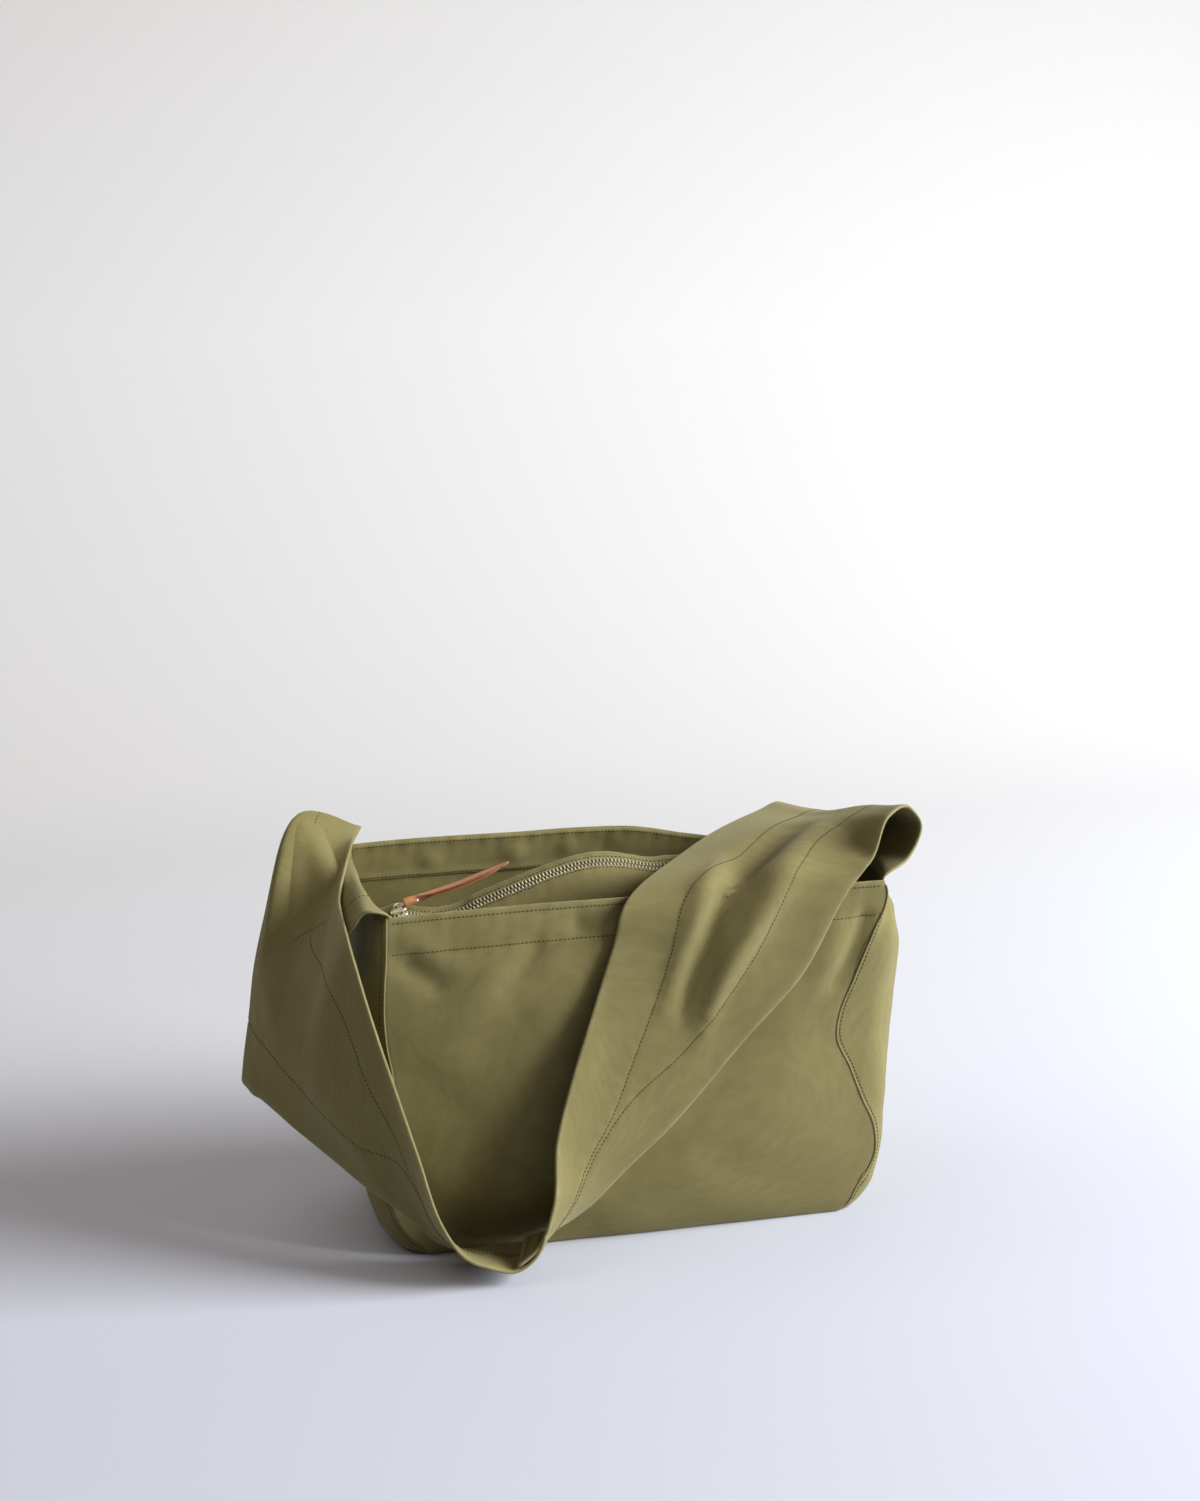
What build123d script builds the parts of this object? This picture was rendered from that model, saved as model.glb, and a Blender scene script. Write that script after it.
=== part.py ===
from build123d import *
from math import asin, cos, degrees, radians, sin, sqrt
import os

# Open-top canvas messenger bag with a wide strap cut in one with its two end gussets.
# Millimetres. Origin: centre of the base, on the floor. +X right, -Y front, +Z up.

# ---- driving dimensions -------------------------------------------------------------
height = 265.0            # floor to rim
mouth_half_width = 184.0  # centre to the outer face of a gusset at the rim
base_inset = 10.0         # how much narrower the base is, each side
belly_swell = 11.0        # how much wider the soft ends bulge, each side
belly_low = 90.0          # the bulge starts here
belly_high = 200.0        # and ends here
base_half_depth = 80.0    # centre to the outer face of the front or back at the floor
front_lean = 10.0         # how much further out the front rim is
back_lean = 22.0          # how much further out the back rim is
base_half_width = mouth_half_width - base_inset
belly_half_width = mouth_half_width + belly_swell
front_rim_depth = base_half_depth + front_lean
back_rim_depth = base_half_depth + back_lean

cloth = 2.0               # canvas with its turned seam allowance
facing_depth = 27.0       # facing strip inside each rim
facing_cloth = 1.2
binding_width = 9.0       # tape over the raw seam edges inside
binding_cloth = 1.6
sewn_gap = 0.3            # clearance between pieces that are sewn, not fused

pouch_base = 100.0        # underside of the zipped pocket
pouch_cloth = 1.4
pouch_y = -15.0           # the zip's centre line, front to back

zip_rise = 3.0            # top of the zip's arch above the rim
zip_end_room = 14.0       # from each end of the row of teeth to the gusset's outer face
zip_radius = 545.0        # the zip lies on a shallow arch of this radius
zip_half_length = mouth_half_width - zip_end_room
zip_peak = height + zip_rise
tape_overrun = 1.2        # the tapes go on past the teeth, degrees of the arch
tape_width = 13.5         # each of the two tapes
tape_cloth = 1.0
zip_slot = 1.2            # space between the two rows for the slider's web
tooth_pitch = 2.8
tooth_length = 1.4        # along the zip
tooth_depth = 2.6         # across the zip
tooth_thick = 2.6
top_stop_length = 2.2
bottom_stop_length = 3.0
stop_room = 2.6           # from the last tooth to the middle of a stop

slider_rest_room = 7.0    # from the end of the row of teeth to the closed slider
slider_start = slider_rest_room - zip_half_length
slider_end = 42.0         # drawn open as far as the strap that lies over the mouth
slider_length = 11.0
slider_width = 9.0
slider_plate = 1.0
slider_round = 2.0
slider_gap = 0.4          # between a slider plate and the teeth
web_thick = 0.6
bail_height = 5.2
bail_wire = 1.2
bail_bend = 1.5
bail_width = 1.8
pin_rise = 2.7            # pull hinge above the slider's top plate
pin_radius = 0.6

pull_lift = 16.0          # rest angle of the pull above the horizontal, degrees
tab_length = 11.0
tab_width = 6.4
tab_thick = 1.0
eye_width = 4.4
eye_length = 3.2          # the slot in the tab that the leather goes through
eye_inset = 3.4           # from the tab's end to the middle of the slot
eye_bar_inset = 0.9       # from the tab's end to the middle of the bar
arm_overlap = 0.4         # the tab's plate starts this far inside the slider's end
thong_length = 82.0
thong_width = 7.0
thong_thick = 3.0
loop_wall = 1.5

strap_cloth = 2.0
strap_root_gap = 1.6      # from the gusset's top edge to the strap's middle surface
root_back_room = 4.0      # the strap starts this far in from the back and front rims

os.makedirs("parts", exist_ok=True)


def half_width(z):
    """Outer half width of the bag at height z."""
    if z <= belly_low:
        return base_half_width + (belly_half_width - base_half_width) * z / belly_low
    if z <= belly_high:
        return belly_half_width
    share = (z - belly_high) / (height - belly_high)
    return belly_half_width + (mouth_half_width - belly_half_width) * share


def front_depth(z):
    """Distance from the centre to the outer face of the front at height z."""
    return base_half_depth + (front_rim_depth - base_half_depth) * z / height


def back_depth(z):
    """Distance from the centre to the outer face of the back at height z."""
    return base_half_depth + (back_rim_depth - base_half_depth) * z / height


def write(part, label):
    """Label a finished piece and write its STEP file."""
    part.label = label
    export_step(part, f"parts/{label}.step")


def levels(low, high):
    """Heights at which a wall from low to high changes direction."""
    return [low] + [z for z in (belly_low, belly_high) if low < z < high] + [high]


def stacked(low, high, box):
    """Wall from low to high whose horizontal section is box(z) = (x0, x1, y0, y1)."""
    with BuildPart() as wall:
        heights = levels(low, high)
        for z0, z1 in zip(heights, heights[1:]):
            for z in (z0, z1):
                x0, x1, y0, y1 = box(z)
                with BuildSketch(Plane.XY.offset(z)):
                    with Locations(((x0 + x1) / 2, (y0 + y1) / 2)):
                        Rectangle(x1 - x0, y1 - y0)
            loft(ruled=True)
    return wall.part


# ---- shell --------------------------------------------------------------------------
write(stacked(0, height, lambda z: (-half_width(z), half_width(z),
                                    -front_depth(z), -front_depth(z) + cloth)),
      "front_panel")
write(stacked(0, height, lambda z: (-half_width(z), half_width(z),
                                    back_depth(z) - cloth, back_depth(z))),
      "back_panel")


def inner_front(z):
    """Y of the space just behind the front panel."""
    return -front_depth(z) + cloth + sewn_gap


def inner_back(z):
    """Y of the space just before the back panel."""
    return back_depth(z) - cloth - sewn_gap


def inner_side(z):
    """X of the space just inside a gusset."""
    return half_width(z) - cloth - sewn_gap


write(stacked(0, height, lambda z: (-half_width(z), -half_width(z) + cloth,
                                    inner_front(z), inner_back(z))),
      "gusset_left")
write(stacked(0, height, lambda z: (half_width(z) - cloth, half_width(z),
                                    inner_front(z), inner_back(z))),
      "gusset_right")
write(stacked(0, cloth, lambda z: (-inner_side(z), inner_side(z),
                                   inner_front(z), inner_back(z))),
      "bottom_panel")

# ---- facings inside the rims --------------------------------------------------------
facing_low = height - facing_depth
write(stacked(facing_low, height - sewn_gap,
              lambda z: (-inner_side(z), inner_side(z),
                         inner_front(z), inner_front(z) + facing_cloth)),
      "front_facing")
write(stacked(facing_low, height - sewn_gap,
              lambda z: (-inner_side(z), inner_side(z),
                         inner_back(z) - facing_cloth, inner_back(z))),
      "back_facing")

# ---- binding tapes over the seam allowances -----------------------------------------
binding_low = cloth + sewn_gap
binding_high = facing_low - sewn_gap
corner_reach = binding_width + binding_cloth


def corner_binding(side, toward_back):
    """Tape that stands in one inner corner: side -1 left or 1 right."""
    def section(z):
        outer = side * inner_side(z)
        inner = outer - side * binding_cloth
        near = inner_back(z) if toward_back else inner_front(z)
        far = near + (-binding_width if toward_back else binding_width)
        return min(outer, inner), max(outer, inner), min(near, far), max(near, far)
    return stacked(binding_low, binding_high, section)


for side, side_name in ((-1, "left"), (1, "right")):
    write(corner_binding(side, False), f"front_{side_name}_seam_binding")
    write(corner_binding(side, True), f"back_{side_name}_seam_binding")

base_top = binding_low + binding_width
write(stacked(binding_low, base_top,
              lambda z: (-inner_side(z) + corner_reach, inner_side(z) - corner_reach,
                         inner_front(z), inner_front(z) + binding_cloth)),
      "front_base_binding")
write(stacked(binding_low, base_top,
              lambda z: (-inner_side(z) + corner_reach, inner_side(z) - corner_reach,
                         inner_back(z) - binding_cloth, inner_back(z))),
      "back_base_binding")

# ---- zip ----------------------------------------------------------------------------
zip_centre_z = zip_peak - zip_radius
end_angle = degrees(asin(zip_half_length / zip_radius))


def zip_plane(angle):
    """Plane on the zip's centre line, angle degrees right of its top: x along, z up."""
    a = radians(angle)
    origin = (zip_radius * sin(a), pouch_y, zip_centre_z + zip_radius * cos(a))
    return Plane(origin=origin, x_dir=(cos(a), 0, -sin(a)), z_dir=(sin(a), 0, cos(a)))


def arched_band(inner_radius, outer_radius, reach, y_low, y_high):
    """Band that follows the zip's arch, reach degrees each way, from y_low to y_high."""
    with BuildPart() as band:
        with BuildSketch(Plane.XZ.offset(-y_high)):
            with BuildLine():
                outer = CenterArc((0, zip_centre_z), outer_radius, 90 - reach, 2 * reach)
                inner = CenterArc((0, zip_centre_z), inner_radius, 90 - reach, 2 * reach)
                Line(outer @ 0, inner @ 0)
                Line(outer @ 1, inner @ 1)
            make_face()
        extrude(amount=y_high - y_low)
    return band.part


tape_reach = end_angle + tape_overrun
tape_front_low = pouch_y - zip_slot / 2 - tape_width
tape_back_high = pouch_y + zip_slot / 2 + tape_width
write(arched_band(zip_radius - tape_cloth / 2, zip_radius + tape_cloth / 2, tape_reach,
                  tape_front_low, pouch_y - zip_slot / 2),
      "zip_tape_front")
write(arched_band(zip_radius - tape_cloth / 2, zip_radius + tape_cloth / 2, tape_reach,
                  pouch_y + zip_slot / 2, tape_back_high),
      "zip_tape_back")

pitch_angle = degrees(tooth_pitch / zip_radius)
tooth_count = int(2 * end_angle / pitch_angle)


def teeth(side, phase):
    """One row of metal teeth clamped on a tape's edge: side -1 front or 1 back."""
    aside = side * (zip_slot / 2 + tooth_depth / 2)
    angles = [-end_angle + (k + phase) * pitch_angle for k in range(tooth_count)]
    with BuildPart() as row:
        with Locations(*[zip_plane(a) * Pos(0, aside, 0) for a in angles]):
            Box(tooth_length, tooth_depth, tooth_thick)
    return row.part


write(teeth(-1, 0.0), "zip_teeth_front")
write(teeth(1, 0.5), "zip_teeth_back")

stop_angle = end_angle + degrees(stop_room / zip_radius)
with BuildPart() as top_stops:
    for side in (-1, 1):
        with Locations(zip_plane(-stop_angle)):
            with Locations((0, side * (zip_slot / 2 + tooth_depth / 2), 0)):
                Box(top_stop_length, tooth_depth, tooth_thick)
write(top_stops.part, "zip_top_stops")

with BuildPart() as bottom_stop:
    with Locations(zip_plane(stop_angle)):
        Box(bottom_stop_length, zip_slot + 2 * tooth_depth, tooth_thick)
write(bottom_stop.part, "zip_bottom_stop")

# ---- zipped pocket ------------------------------------------------------------------
sheet_top = zip_radius - tape_cloth / 2 - sewn_gap


def pouch_outline(z):
    """Half width of the pocket at height z."""
    return inner_side(z) - binding_cloth - sewn_gap


def pouch_top(x):
    """Height of the underside of the zip tape above x."""
    return zip_centre_z + sqrt(sheet_top ** 2 - x ** 2)


def pouch_sheet(y_low, y_high):
    """One wall of the pocket: straight sides on the gussets, arched top under the zip."""
    edge = min(pouch_outline(height), zip_radius * sin(radians(tape_reach)))
    side_top = pouch_top(edge)
    with BuildPart() as sheet:
        with BuildSketch(Plane.XZ.offset(-y_high)):
            with BuildLine():
                Polyline((-edge, side_top), (-pouch_outline(belly_high), belly_high),
                         (-pouch_outline(pouch_base), pouch_base),
                         (pouch_outline(pouch_base), pouch_base),
                         (pouch_outline(belly_high), belly_high), (edge, side_top))
                ThreePointArc((edge, side_top), (0, pouch_top(0)), (-edge, side_top))
            make_face()
        extrude(amount=y_high - y_low)
    return sheet.part


write(pouch_sheet(tape_front_low, tape_front_low + pouch_cloth), "pouch_front")
write(pouch_sheet(tape_back_high - pouch_cloth, tape_back_high), "pouch_back")

pouch_floor_half = pouch_outline(pouch_base)
with BuildPart() as pouch_bottom:
    floor_depth = tape_back_high - tape_front_low
    with Locations((0, (tape_back_high + tape_front_low) / 2,
                    pouch_base - sewn_gap - pouch_cloth / 2)):
        Box(2 * pouch_floor_half, floor_depth, pouch_cloth)
write(pouch_bottom.part, "pouch_bottom")

# ---- slider -------------------------------------------------------------------------
slider_angle = degrees(asin(slider_start / zip_radius))
slider_plane = zip_plane(slider_angle)
plate_low = tooth_thick / 2 + slider_gap
plate_high = plate_low + slider_plate
bail_half = slider_length / 2 - bail_bend
bail_foot = plate_high - slider_plate / 2
crown = plate_high + bail_height
with BuildPart() as zip_slider:
    for height_on_zip in (-(plate_low + plate_high) / 2, (plate_low + plate_high) / 2):
        with Locations(slider_plane):
            with Locations((0, 0, height_on_zip)):
                Box(slider_length, slider_width, slider_plate)
    fillet(zip_slider.edges().filter_by(
        lambda e: abs(e.length - slider_plate) < 1e-6), slider_round)
    with Locations(slider_plane):
        with Locations((-slider_length / 4, 0, 0)):
            Box(slider_length / 3, web_thick, 2 * plate_low + slider_plate)
    with BuildSketch(Plane(origin=slider_plane.origin, x_dir=slider_plane.x_dir,
                           z_dir=-slider_plane.y_dir)):
        for wire, mode in ((0, Mode.ADD), (bail_wire, Mode.SUBTRACT)):
            side_x, top, bend = bail_half - wire, crown - wire, bail_bend - wire / 2
            with BuildLine():
                Polyline((-side_x, bail_foot), (-side_x, top - bend), (bend - side_x, top),
                         (side_x - bend, top), (side_x, top - bend), (side_x, bail_foot),
                         close=True)
            make_face(mode=mode)
    extrude(amount=bail_width / 2, both=True)
write(zip_slider.part, "zip_slider")

# ---- pull ---------------------------------------------------------------------------
pin_at = slider_plane.from_local_coords((0, 0, plate_high + pin_rise))
lift = radians(pull_lift)
pull_plane = Plane(origin=pin_at, x_dir=(cos(lift), 0, sin(lift)),
                   z_dir=(-sin(lift), 0, cos(lift)))
arm_in = bail_width / 2 + sewn_gap
arm_out = tab_width / 2
frame_end = slider_length / 2 - arm_overlap
with BuildPart() as zip_tab:
    with Locations(pull_plane):
        Cylinder(pin_radius, tab_width, rotation=(90, 0, 0))
        for side in (-1, 1):
            with Locations((frame_end / 2, side * (arm_in + arm_out) / 2, 0)):
                Box(frame_end, arm_out - arm_in, tab_thick)
        with Locations((frame_end + tab_length / 2, 0, 0)):
            Box(tab_length, tab_width, tab_thick)
        with Locations((frame_end + tab_length - eye_inset, 0, 0)):
            Box(eye_length, eye_width, tab_thick * 2, mode=Mode.SUBTRACT)
write(zip_tab.part, "zip_tab")

eye_bar = frame_end + tab_length - eye_bar_inset
loop_inner = 1.35
loop_outer = loop_inner + loop_wall
thong_start = loop_outer - loop_wall / 2
with BuildPart() as leather_pull:
    with BuildSketch(Plane(origin=pull_plane.from_local_coords((eye_bar, 0, 0)),
                           x_dir=pull_plane.x_dir, z_dir=-pull_plane.y_dir)):
        Circle(loop_outer)
        Circle(loop_inner, mode=Mode.SUBTRACT)
    extrude(amount=eye_width / 2 - sewn_gap, both=True)
    with Locations(pull_plane):
        with Locations((eye_bar + thong_start + thong_length / 2, 0, 0)):
            Box(thong_length, thong_width, thong_thick)
write(leather_pull.part, "leather_pull")

# ---- strap --------------------------------------------------------------------------
# Each station runs across the strap from its back edge to its front edge. The strap
# leaves the gusset's top edge, folds over, and hangs to the middle seam by the floor.
# The stations are set on a bag 368 wide, 265 high, with its rims 90 and 102 from the
# centre, and stretch with the bag's own sizes.
set_half_width = 184.0
set_front_depth = 90.0
set_back_depth = 102.0
set_height = 265.0


def stretched(point):
    """A station's point moved to where it is on a bag of these sizes."""
    x, y, z = point
    depth = front_rim_depth / set_front_depth if y < 0 else back_rim_depth / set_back_depth
    return x * mouth_half_width / set_half_width, y * depth, z * height / set_height


right_stations = [
    [(177, 91, 275), (195, 36, 276), (208, -22, 278), (214, -76, 277)],
    [(169, 84, 282), (193, 36, 285), (215, -16, 293), (227, -66, 298)],
    [(160, 76, 286), (177, 34, 289), (201, -14, 301), (215, -68, 314)],
    [(140, 60, 285), (159, 18, 288), (179, -30, 301), (192, -84, 313)],
    [(98, 22, 283), (129, -16, 289), (159, -52, 296), (178, -94, 288)],
    [(48, -32, 279), (84, -58, 283), (122, -82, 285), (168, -99, 277)],
    [(-8, -97, 269), (48, -98, 270), (100, -99, 271), (150, -103, 255)],
    [(-22, -102, 232), (26, -103, 225), (74, -104, 216), (122, -104, 204)],
    [(-38, -109, 190), (0, -107, 170), (40, -105, 152), (76, -104, 154)],
    [(-60, -121, 134), (20, -103, 92)],
    [(-71, -131, 98), (-12, -101, 62)],
    [(-76, -142, 56), (-42, -95, 30)],
    [(-88, -147, 24), (-68, -91, 12)],
    [(-103, -147, 13), (-86, -91, 9)],
]
left_stations = [
    [(-185, 96, 272), (-196, 45, 269), (-198, -15, 264), (-196, -89, 268)],
    [(-184, 93, 277), (-207, 48, 281), (-209, -4, 254), (-206, -79, 255)],
    [(-182, 90, 281), (-217, 51, 295), (-224, 8, 246), (-211, -62, 236)],
    [(-180, 87, 283), (-224, 52, 303), (-243, 18, 243), (-232, -34, 195)],
    [(-178, 85, 284), (-226, 53, 305), (-255, 26, 238), (-262, -8, 148)],
    [(-177, 83, 285), (-228, 50, 306), (-260, 27, 231), (-281, 0, 123)],
    [(-181, 73, 284), (-231, 38, 302), (-262, 14, 222), (-278, -12, 115)],
    [(-190, 46, 282), (-234, 22, 289), (-261, -2, 206), (-269, -24, 111)],
    [(-200, 14, 271), (-237, -6, 268), (-259, -22, 188), (-259, -36, 104)],
    [(-209, -22, 262), (-238, -32, 243), (-253, -42, 164), (-248, -46, 95)],
    [(-213, -58, 261), (-236, -56, 218), (-244, -60, 142), (-235, -56, 85)],
    [(-214, -92, 254), (-230, -79, 193), (-233, -75, 120), (-222, -66, 75)],
    [(-209, -103, 232), (-219, -92, 166), (-219, -87, 104), (-208, -78, 64)],
    [(-200, -111, 196), (-207, -102, 139), (-205, -96, 88), (-194, -88, 54)],
    [(-187, -121, 149), (-180, -94, 44)],
    [(-173, -133, 100), (-167, -99, 33)],
    [(-159, -145, 52), (-151, -102, 18)],
    [(-144, -149, 28), (-131, -101, 10)],
    [(-126, -149, 16), (-109, -96, 9)],
    [(-103, -147, 13), (-86, -91, 9)],
]


def across(station):
    """Four points across a station; a straight one is given by its two edges."""
    if len(station) == 4:
        return [Vector(*p) for p in station]
    first, last = Vector(*station[0]), Vector(*station[1])
    return [first + (last - first) * (k / 3) for k in range(4)]


def strap_root(side):
    """The strap's first station, just above a gusset's top edge: side -1 left or 1 right."""
    x, z = side * (mouth_half_width - strap_cloth / 2), height + strap_root_gap
    return [(x, back_rim_depth - root_back_room, z), (x, root_back_room - front_rim_depth, z)]


def strap_half(side, stations):
    """Closed thin solid whose middle surface passes through the root and the stations."""
    moved = [[stretched(point) for point in station] for station in stations]
    net = [across(s) for s in [strap_root(side)] + moved]
    rows, columns = len(net), len(net[0])

    def normal(i, j):
        along = net[min(i + 1, rows - 1)][j] - net[max(i - 1, 0)][j]
        aside = net[i][min(j + 1, columns - 1)] - net[i][max(j - 1, 0)]
        return along.cross(aside).normalized()

    outer = [[net[i][j] + normal(i, j) * (strap_cloth / 2) for j in range(columns)]
             for i in range(rows)]
    inner = [[net[i][j] - normal(i, j) * (strap_cloth / 2) for j in range(columns)]
             for i in range(rows)]
    corners = []
    for i in range(rows - 1):
        for j in range(columns - 1):
            corners.append((outer[i][j], outer[i + 1][j], outer[i + 1][j + 1]))
            corners.append((outer[i][j], outer[i + 1][j + 1], outer[i][j + 1]))
            corners.append((inner[i][j], inner[i + 1][j + 1], inner[i + 1][j]))
            corners.append((inner[i][j], inner[i][j + 1], inner[i + 1][j + 1]))
    rim = [(i, 0) for i in range(rows)] + [(rows - 1, j) for j in range(1, columns)]
    rim += [(i, columns - 1) for i in range(rows - 2, -1, -1)]
    rim += [(0, j) for j in range(columns - 2, 0, -1)]
    for (i0, j0), (i1, j1) in zip(rim, rim[1:] + rim[:1]):
        corners.append((outer[i0][j0], inner[i0][j0], inner[i1][j1]))
        corners.append((outer[i0][j0], inner[i1][j1], outer[i1][j1]))
    faces = [Face(Wire.make_polygon(list(c), close=True)) for c in corners]
    return Solid(Shell(faces))


for name, side, stations in (("strap_right", 1, right_stations),
                             ("strap_left", -1, left_stations)):
    with BuildPart() as strap:
        add(strap_half(side, stations))
    write(strap.part, name)
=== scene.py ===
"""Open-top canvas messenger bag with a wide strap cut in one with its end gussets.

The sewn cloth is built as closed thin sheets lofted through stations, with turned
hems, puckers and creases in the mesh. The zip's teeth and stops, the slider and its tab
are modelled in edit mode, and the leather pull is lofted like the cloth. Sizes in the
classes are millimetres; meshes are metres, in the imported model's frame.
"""

from __future__ import annotations

import logging
import math
from contextlib import contextmanager
from dataclasses import dataclass, field
from enum import Enum
from typing import Callable, Iterator, Sequence

import bmesh
import bpy
import numpy as np
from mathutils import Matrix, Vector

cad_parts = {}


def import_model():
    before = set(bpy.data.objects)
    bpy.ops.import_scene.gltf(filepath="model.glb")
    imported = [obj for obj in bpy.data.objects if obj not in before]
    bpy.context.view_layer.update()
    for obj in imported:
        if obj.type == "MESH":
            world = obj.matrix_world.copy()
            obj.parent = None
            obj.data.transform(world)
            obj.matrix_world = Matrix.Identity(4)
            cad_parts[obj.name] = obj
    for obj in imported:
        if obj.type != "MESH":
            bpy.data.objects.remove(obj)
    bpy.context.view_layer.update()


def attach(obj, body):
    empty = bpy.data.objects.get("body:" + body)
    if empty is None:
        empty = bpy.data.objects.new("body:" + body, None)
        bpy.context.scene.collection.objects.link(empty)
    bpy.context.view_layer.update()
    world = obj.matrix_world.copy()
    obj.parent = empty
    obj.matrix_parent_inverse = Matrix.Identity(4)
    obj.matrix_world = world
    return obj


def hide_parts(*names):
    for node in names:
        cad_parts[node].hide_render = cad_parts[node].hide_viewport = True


log = logging.getLogger("messenger_bag")

MM = 0.001
# Cloth, in millimetres: room between two rows that meet, half width of the groove under a
# thread, wavelengths of its puckers, how far they reach (and how far a side stays calm),
# softness of a hem's step, and reach of the wear along an edge.
MEETING_ROOM = 1.8
GROOVE = 1.8
PUCKER_WAVES = (13, 21)
PUCKER_REACH = 8
HEM_STEP = 0.7
WEAR_REACH = 2.5
# Directions and shares of size of the slow waves in worn canvas.
WAVES = ((1.0, 0.35), (0.45, -0.9), (-0.7, 0.8), (1.3, 1.1))
WAVE_GROWTH = 0.23
# Grid lines on each side that a stitch row is averaged over.
EASE = 9
Point = tuple[float, float, float]
Station = Sequence[Point]


class Edge(Enum):
    """One border of a sheet's grid."""

    START = "first row"
    END = "last row"
    NEAR = "first column"
    FAR = "last column"


class Side(Enum):
    """An end of the bag, with the sign of its X."""

    LEFT = -1
    RIGHT = 1

    @property
    def label(self) -> str:
        """The end's name inside the names of pieces."""
        return self.name.lower()


class Body(Enum):
    """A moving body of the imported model."""

    BAG = "bag"
    SLIDER = "slider"
    PULL = "pull"


class Face(Enum):
    """A face of a sheet, with the sign of its normal."""

    OUTER = 1
    INNER = -1


# ---- curves and lofts ---------------------------------------------------------------
def smooth(values: np.ndarray, knots: np.ndarray, at: np.ndarray) -> np.ndarray:
    """Pass a smooth curve through values and read it.

    Args:
        values: One value or row of values for each knot.
        knots: Rising parameters of the values.
        at: Parameters to read the curve at.

    Returns:
        The curve's values at each parameter.
    """
    values, knots, at = (np.asarray(a, float) for a in (values, knots, at))
    wide = (slice(None),) + (None,) * (values.ndim - 1)
    gaps = np.diff(knots)
    slopes = np.diff(values, axis=0) / gaps[wide]
    tangents = np.empty_like(values)
    tangents[0], tangents[-1] = slopes[0], slopes[-1]
    if len(values) > 2:
        before, after = gaps[:-1][wide], gaps[1:][wide]
        tangents[1:-1] = (slopes[:-1] * after + slopes[1:] * before) / (before + after)
    i = np.clip(np.searchsorted(knots, at, side="right") - 1, 0, len(knots) - 2)
    gap = gaps[i][wide]
    t = ((at - knots[i]) / gaps[i])[wide]
    t2, t3 = t * t, t * t * t
    return (
        (2 * t3 - 3 * t2 + 1) * values[i]
        + (t3 - 2 * t2 + t) * gap * tangents[i]
        + (3 * t2 - 2 * t3) * values[i + 1]
        + (t3 - t2) * gap * tangents[i + 1]
    )


def lengths(points: np.ndarray) -> np.ndarray:
    """Distance travelled at each point of a line."""
    steps = np.linalg.norm(np.diff(points, axis=0), axis=1)
    return np.concatenate([[0.0], np.cumsum(steps)])


def evenly(points: Station | np.ndarray, count: int) -> np.ndarray:
    """Points spread evenly along the smooth curve through a station's points."""
    points = np.asarray(points, float)
    return smooth(points, lengths(points), np.linspace(0, lengths(points)[-1], count))


def read_line(line: np.ndarray, run: np.ndarray, at: np.ndarray) -> np.ndarray:
    """Read a line at distances along it.

    Args:
        line: An n x 3 array of points or directions.
        run: The distance travelled at each of its rows.
        at: The distances to read.

    Returns:
        One row for each distance.
    """
    return np.stack([np.interp(at, run, line[:, k]) for k in range(3)], 1)


def on_frames(frames: np.ndarray, local: np.ndarray) -> np.ndarray:
    """Copy a shape onto every frame.

    Args:
        frames: An n x 3 x 3 array: middle, direction and normal of each frame.
        local: The shape's m points along, across and above a frame.

    Returns:
        An n x m x 3 array of points.
    """
    aside = np.cross(frames[:, 2], frames[:, 1])
    return (frames[:, None, 0] + local[None, :, 0, None] * frames[:, None, 1]
            + local[None, :, 1, None] * aside[:, None]
            + local[None, :, 2, None] * frames[:, None, 2])


def loft(stations: Sequence[Station], rows: int, columns: int) -> np.ndarray:
    """Loft a smooth surface through stations.

    Args:
        stations: Each is a line of points across the surface, in millimetres.
        rows: How many grid rows to read along the surface.
        columns: How many grid columns to read across it.

    Returns:
        A rows x columns x 3 grid, in metres.
    """
    lines = np.array([evenly(s, columns) for s in stations])
    steps = np.linalg.norm(np.diff(lines, axis=0), axis=2).mean(axis=1)
    knots = np.concatenate([[0.0], np.cumsum(steps)])
    return smooth(lines, knots, np.linspace(0, knots[-1], rows)) * MM


def unit(vectors: np.ndarray) -> np.ndarray:
    """Vectors scaled to length one."""
    return vectors / np.maximum(np.linalg.norm(vectors, axis=-1, keepdims=True), 1e-12)


def bell(distance: np.ndarray, width: float | np.ndarray) -> np.ndarray:
    """Falls smoothly from one at no distance to almost nothing past the width."""
    return np.exp(-((distance / width) ** 2))


@dataclass(frozen=True)
class Crease:
    """A fold, dent or swelling pressed into a sheet along a line.

    Each mark is (x, y, z, height, half width) in millimetres. A negative height is a valley.
    """

    marks: tuple[tuple[float, float, float, float, float], ...]

    def lift(self, grid: np.ndarray) -> np.ndarray:
        """Height that this crease adds at each point of a grid, in metres."""
        marks = np.array(self.marks, float) * MM
        if len(marks) == 1:
            apart = np.linalg.norm(grid - marks[0, :3], axis=2)
            return marks[0, 3] * bell(apart, marks[0, 4])
        line = smooth(marks, lengths(marks[:, :3]),
                      np.linspace(0, lengths(marks[:, :3])[-1], 60))
        apart = np.linalg.norm(grid[:, :, None, :] - line[:, :3], axis=3)
        nearest = apart.argmin(axis=2)
        return line[nearest, 3] * bell(apart.min(axis=2), line[nearest, 4])


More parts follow.
